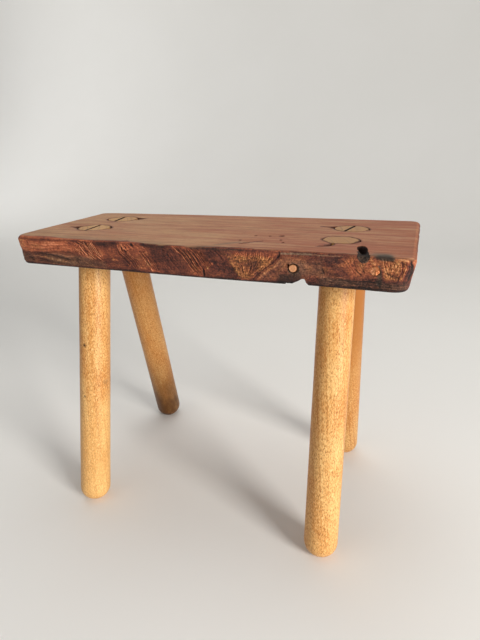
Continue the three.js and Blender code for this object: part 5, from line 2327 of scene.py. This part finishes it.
@dataclass
class Studio:
    """A pale floor, soft lights and the camera."""

    eye: Triple = (0.2021, -0.4888, 0.4065)
    sight: Triple = (-0.3278, 0.8776, -0.3498)
    roll: float = -1.07
    lens: float = 27.06
    sensor: float = 36.0
    reach: float = 9.0
    bend_start: float = 1.4
    bend_radius: float = 1.4
    wall_height: float = 6.0

    def camera(self) -> None:
        """Place the camera where the photograph was taken from."""
        data = bpy.data.cameras.new("camera")
        data.lens = self.lens
        data.sensor_fit = "VERTICAL"
        data.sensor_height = self.sensor
        data.clip_start = 0.01
        camera = bpy.data.objects.new("camera", data)
        sight = np.array(self.sight) / np.linalg.norm(self.sight)
        camera.matrix_world = looking(sight, self.eye, self.roll)
        bpy.context.scene.collection.objects.link(camera)
        bpy.context.scene.camera = camera

    def floor(self) -> None:
        """A wide pale floor that curves up into a backdrop behind the stool."""
        x = np.linspace(-self.reach, self.reach, 9)
        bend = np.linspace(0.0, math.pi / 2, 25)
        level = np.linspace(-self.reach, self.bend_start, 8)[:-1]
        run = np.concatenate([level, self.bend_start + self.bend_radius * np.sin(bend)])
        rise = np.concatenate([np.zeros(len(level)), self.bend_radius * (1 - np.cos(bend))])
        run, rise = np.append(run, run[-1]), np.append(rise, self.wall_height)
        grid = stacked(x[None, :], run[:, None], rise[:, None]) / MM
        shell = Shell()
        shell.add_grid(grid[::-1])
        piece = piece_from("floor", shell.mesh("floor"))
        piece.data.shade_smooth()
        tree = ShaderTree("floor")
        cloud = tree.noise(tree.place(), (2.0, 2.0, 2.0), 3.0)
        colour = tree.mix(srgb(236, 235, 231), srgb(242, 241, 238), cloud)
        piece.data.materials.append(tree.finish(colour, 0.7 + 0.1 * cloud, tree.bump(cloud, 0.2)))

    def light(self, name: str, place: Triple, size: float, power: float, colour: Triple,
              aim: Triple = (0.0, 0.0, 0.2)) -> None:
        """Add one soft square light.

        Args:
            name: Its name.
            place: Where it stands, in metres.
            size: The length of its sides.
            power: Its power in watts.
            colour: Its colour.
            aim: The spot that it faces.
        """
        data = bpy.data.lights.new(name, "AREA")
        data.size = size
        data.energy = power
        data.color = colour
        lamp = bpy.data.objects.new(name, data)
        ahead = np.array(aim) - place
        lamp.matrix_world = looking(ahead / np.linalg.norm(ahead), place)
        bpy.context.scene.collection.objects.link(lamp)

    def build(self) -> None:
        """Set the whole room."""
        self.camera()
        self.floor()
        self.light("key", (2.1, -1.15, 0.9), 0.8, 62.0, (1.0, 0.97, 0.93))
        self.light("fill", (-1.6, -2.0, 1.2), 2.0, 5.0, (1.0, 0.98, 0.96))
        self.light("overhead", (-0.3, 0.5, 2.4), 1.6, 16.0, (1.0, 1.0, 1.0))
        self.light("backdrop", (-2.4, 1.2, 1.2), 1.2, 11.0, (1.0, 1.0, 1.0), (-1.8, 3.0, 0.9))
        world = bpy.data.worlds.new("studio")
        world.use_nodes = True
        sky = world.node_tree.nodes["Background"].inputs
        sky["Color"].default_value = (0.88, 0.87, 0.85, 1.0)
        sky["Strength"].default_value = 0.29
        bpy.context.scene.world = world
        bpy.context.scene.view_settings.view_transform = "Standard"


def stool_legs() -> list[Leg]:
    """The four legs, their places as in the frame.

    Returns:
        The legs, front left, back left, front right and back right.
    """
    hexagon = [(173.6, 15.6), (95.6, 15.6), (43.6, 16.4), (-12.7, 16.2), (-80.5, 15.6), (-136.6, 14.9)]
    return [
        Leg("front_left", tenon=(-140.5, -34.6), foot=(-135.1, -103.2), seed=3, kerf=(8.2, -1.5),
            splits=[(176, 9.5, 30), (-4, 3.5, 50)], painted_light=0.3, end_lighting=0.12,
            nicks=[(192, -103, 2.5), (132, -103, 1.6)]),
        Leg("back_left", tenon=(-144.3, 29.0), foot=(-141.5, 103.2), seed=4, kerf=(12.0, -3.5),
            splits=[(184, 2, 25), (4, 12, 26)], foot_shade=1.1, deep=(0.33, 0.5), side_shade=0.1,
            end_lighting=0.09),
        Leg("front_right", tenon=(134.7, -34.4), foot=(141.2, -99.1), seed=5,
            splits=[(178, 1.5, 20)], flats=hexagon, deep=(0.0, 0.15), side_shade=0.3, end_lighting=-0.13),
        Leg("back_right", tenon=(136.5, 29.2), foot=(136.9, 93.8), seed=6, kerf=(-10.0, -1.8),
            splits=[(182, 9.5, 26), (2, 1.5, 30)], foot_shade=0.2, deep=(0.15, 1.0), side_shade=0.0,
            end_lighting=-0.09),
    ]


def stool_dowels() -> list[EdgeDowel]:
    """The two dowels in the front edge.

    Returns:
        The dowels, the inner one first.
    """
    return [
        EdgeDowel("edge_dowel_inner", along=103.27, below=15.8, diameter=8.0, hole=10.2, ragged=0.3,
                  hole_shift=(1.1, -0.45), knob=0.88, dirt=0.4),
        EdgeDowel("edge_dowel_outer", along=172.57, below=13.0, diameter=8.4, hole=9.0, ragged=1.6,
                  dirt=0.0, lit=0.9),
    ]


def main() -> None:
    """Build the stool piece by piece, then the room."""
    Studio().build()
    seat, legs, dowels = SeatSlab(), stool_legs(), stool_dowels()
    hollows = Hollows(dowels)
    seat.dress(seat.build(legs, hollows.shells(seat)), legs, hollows)
    leg_finish, wedge_finish = LegFinish().material(), WedgeFinish().material()
    dowel_finish = DowelFinish().material()
    for leg in legs:
        leg.build(leg_finish, wedge_finish)
    for dowel in dowels:
        dowel.build(seat, dowel_finish)


if __name__ == "__main__":
    logging.basicConfig(level=logging.INFO)
    main()
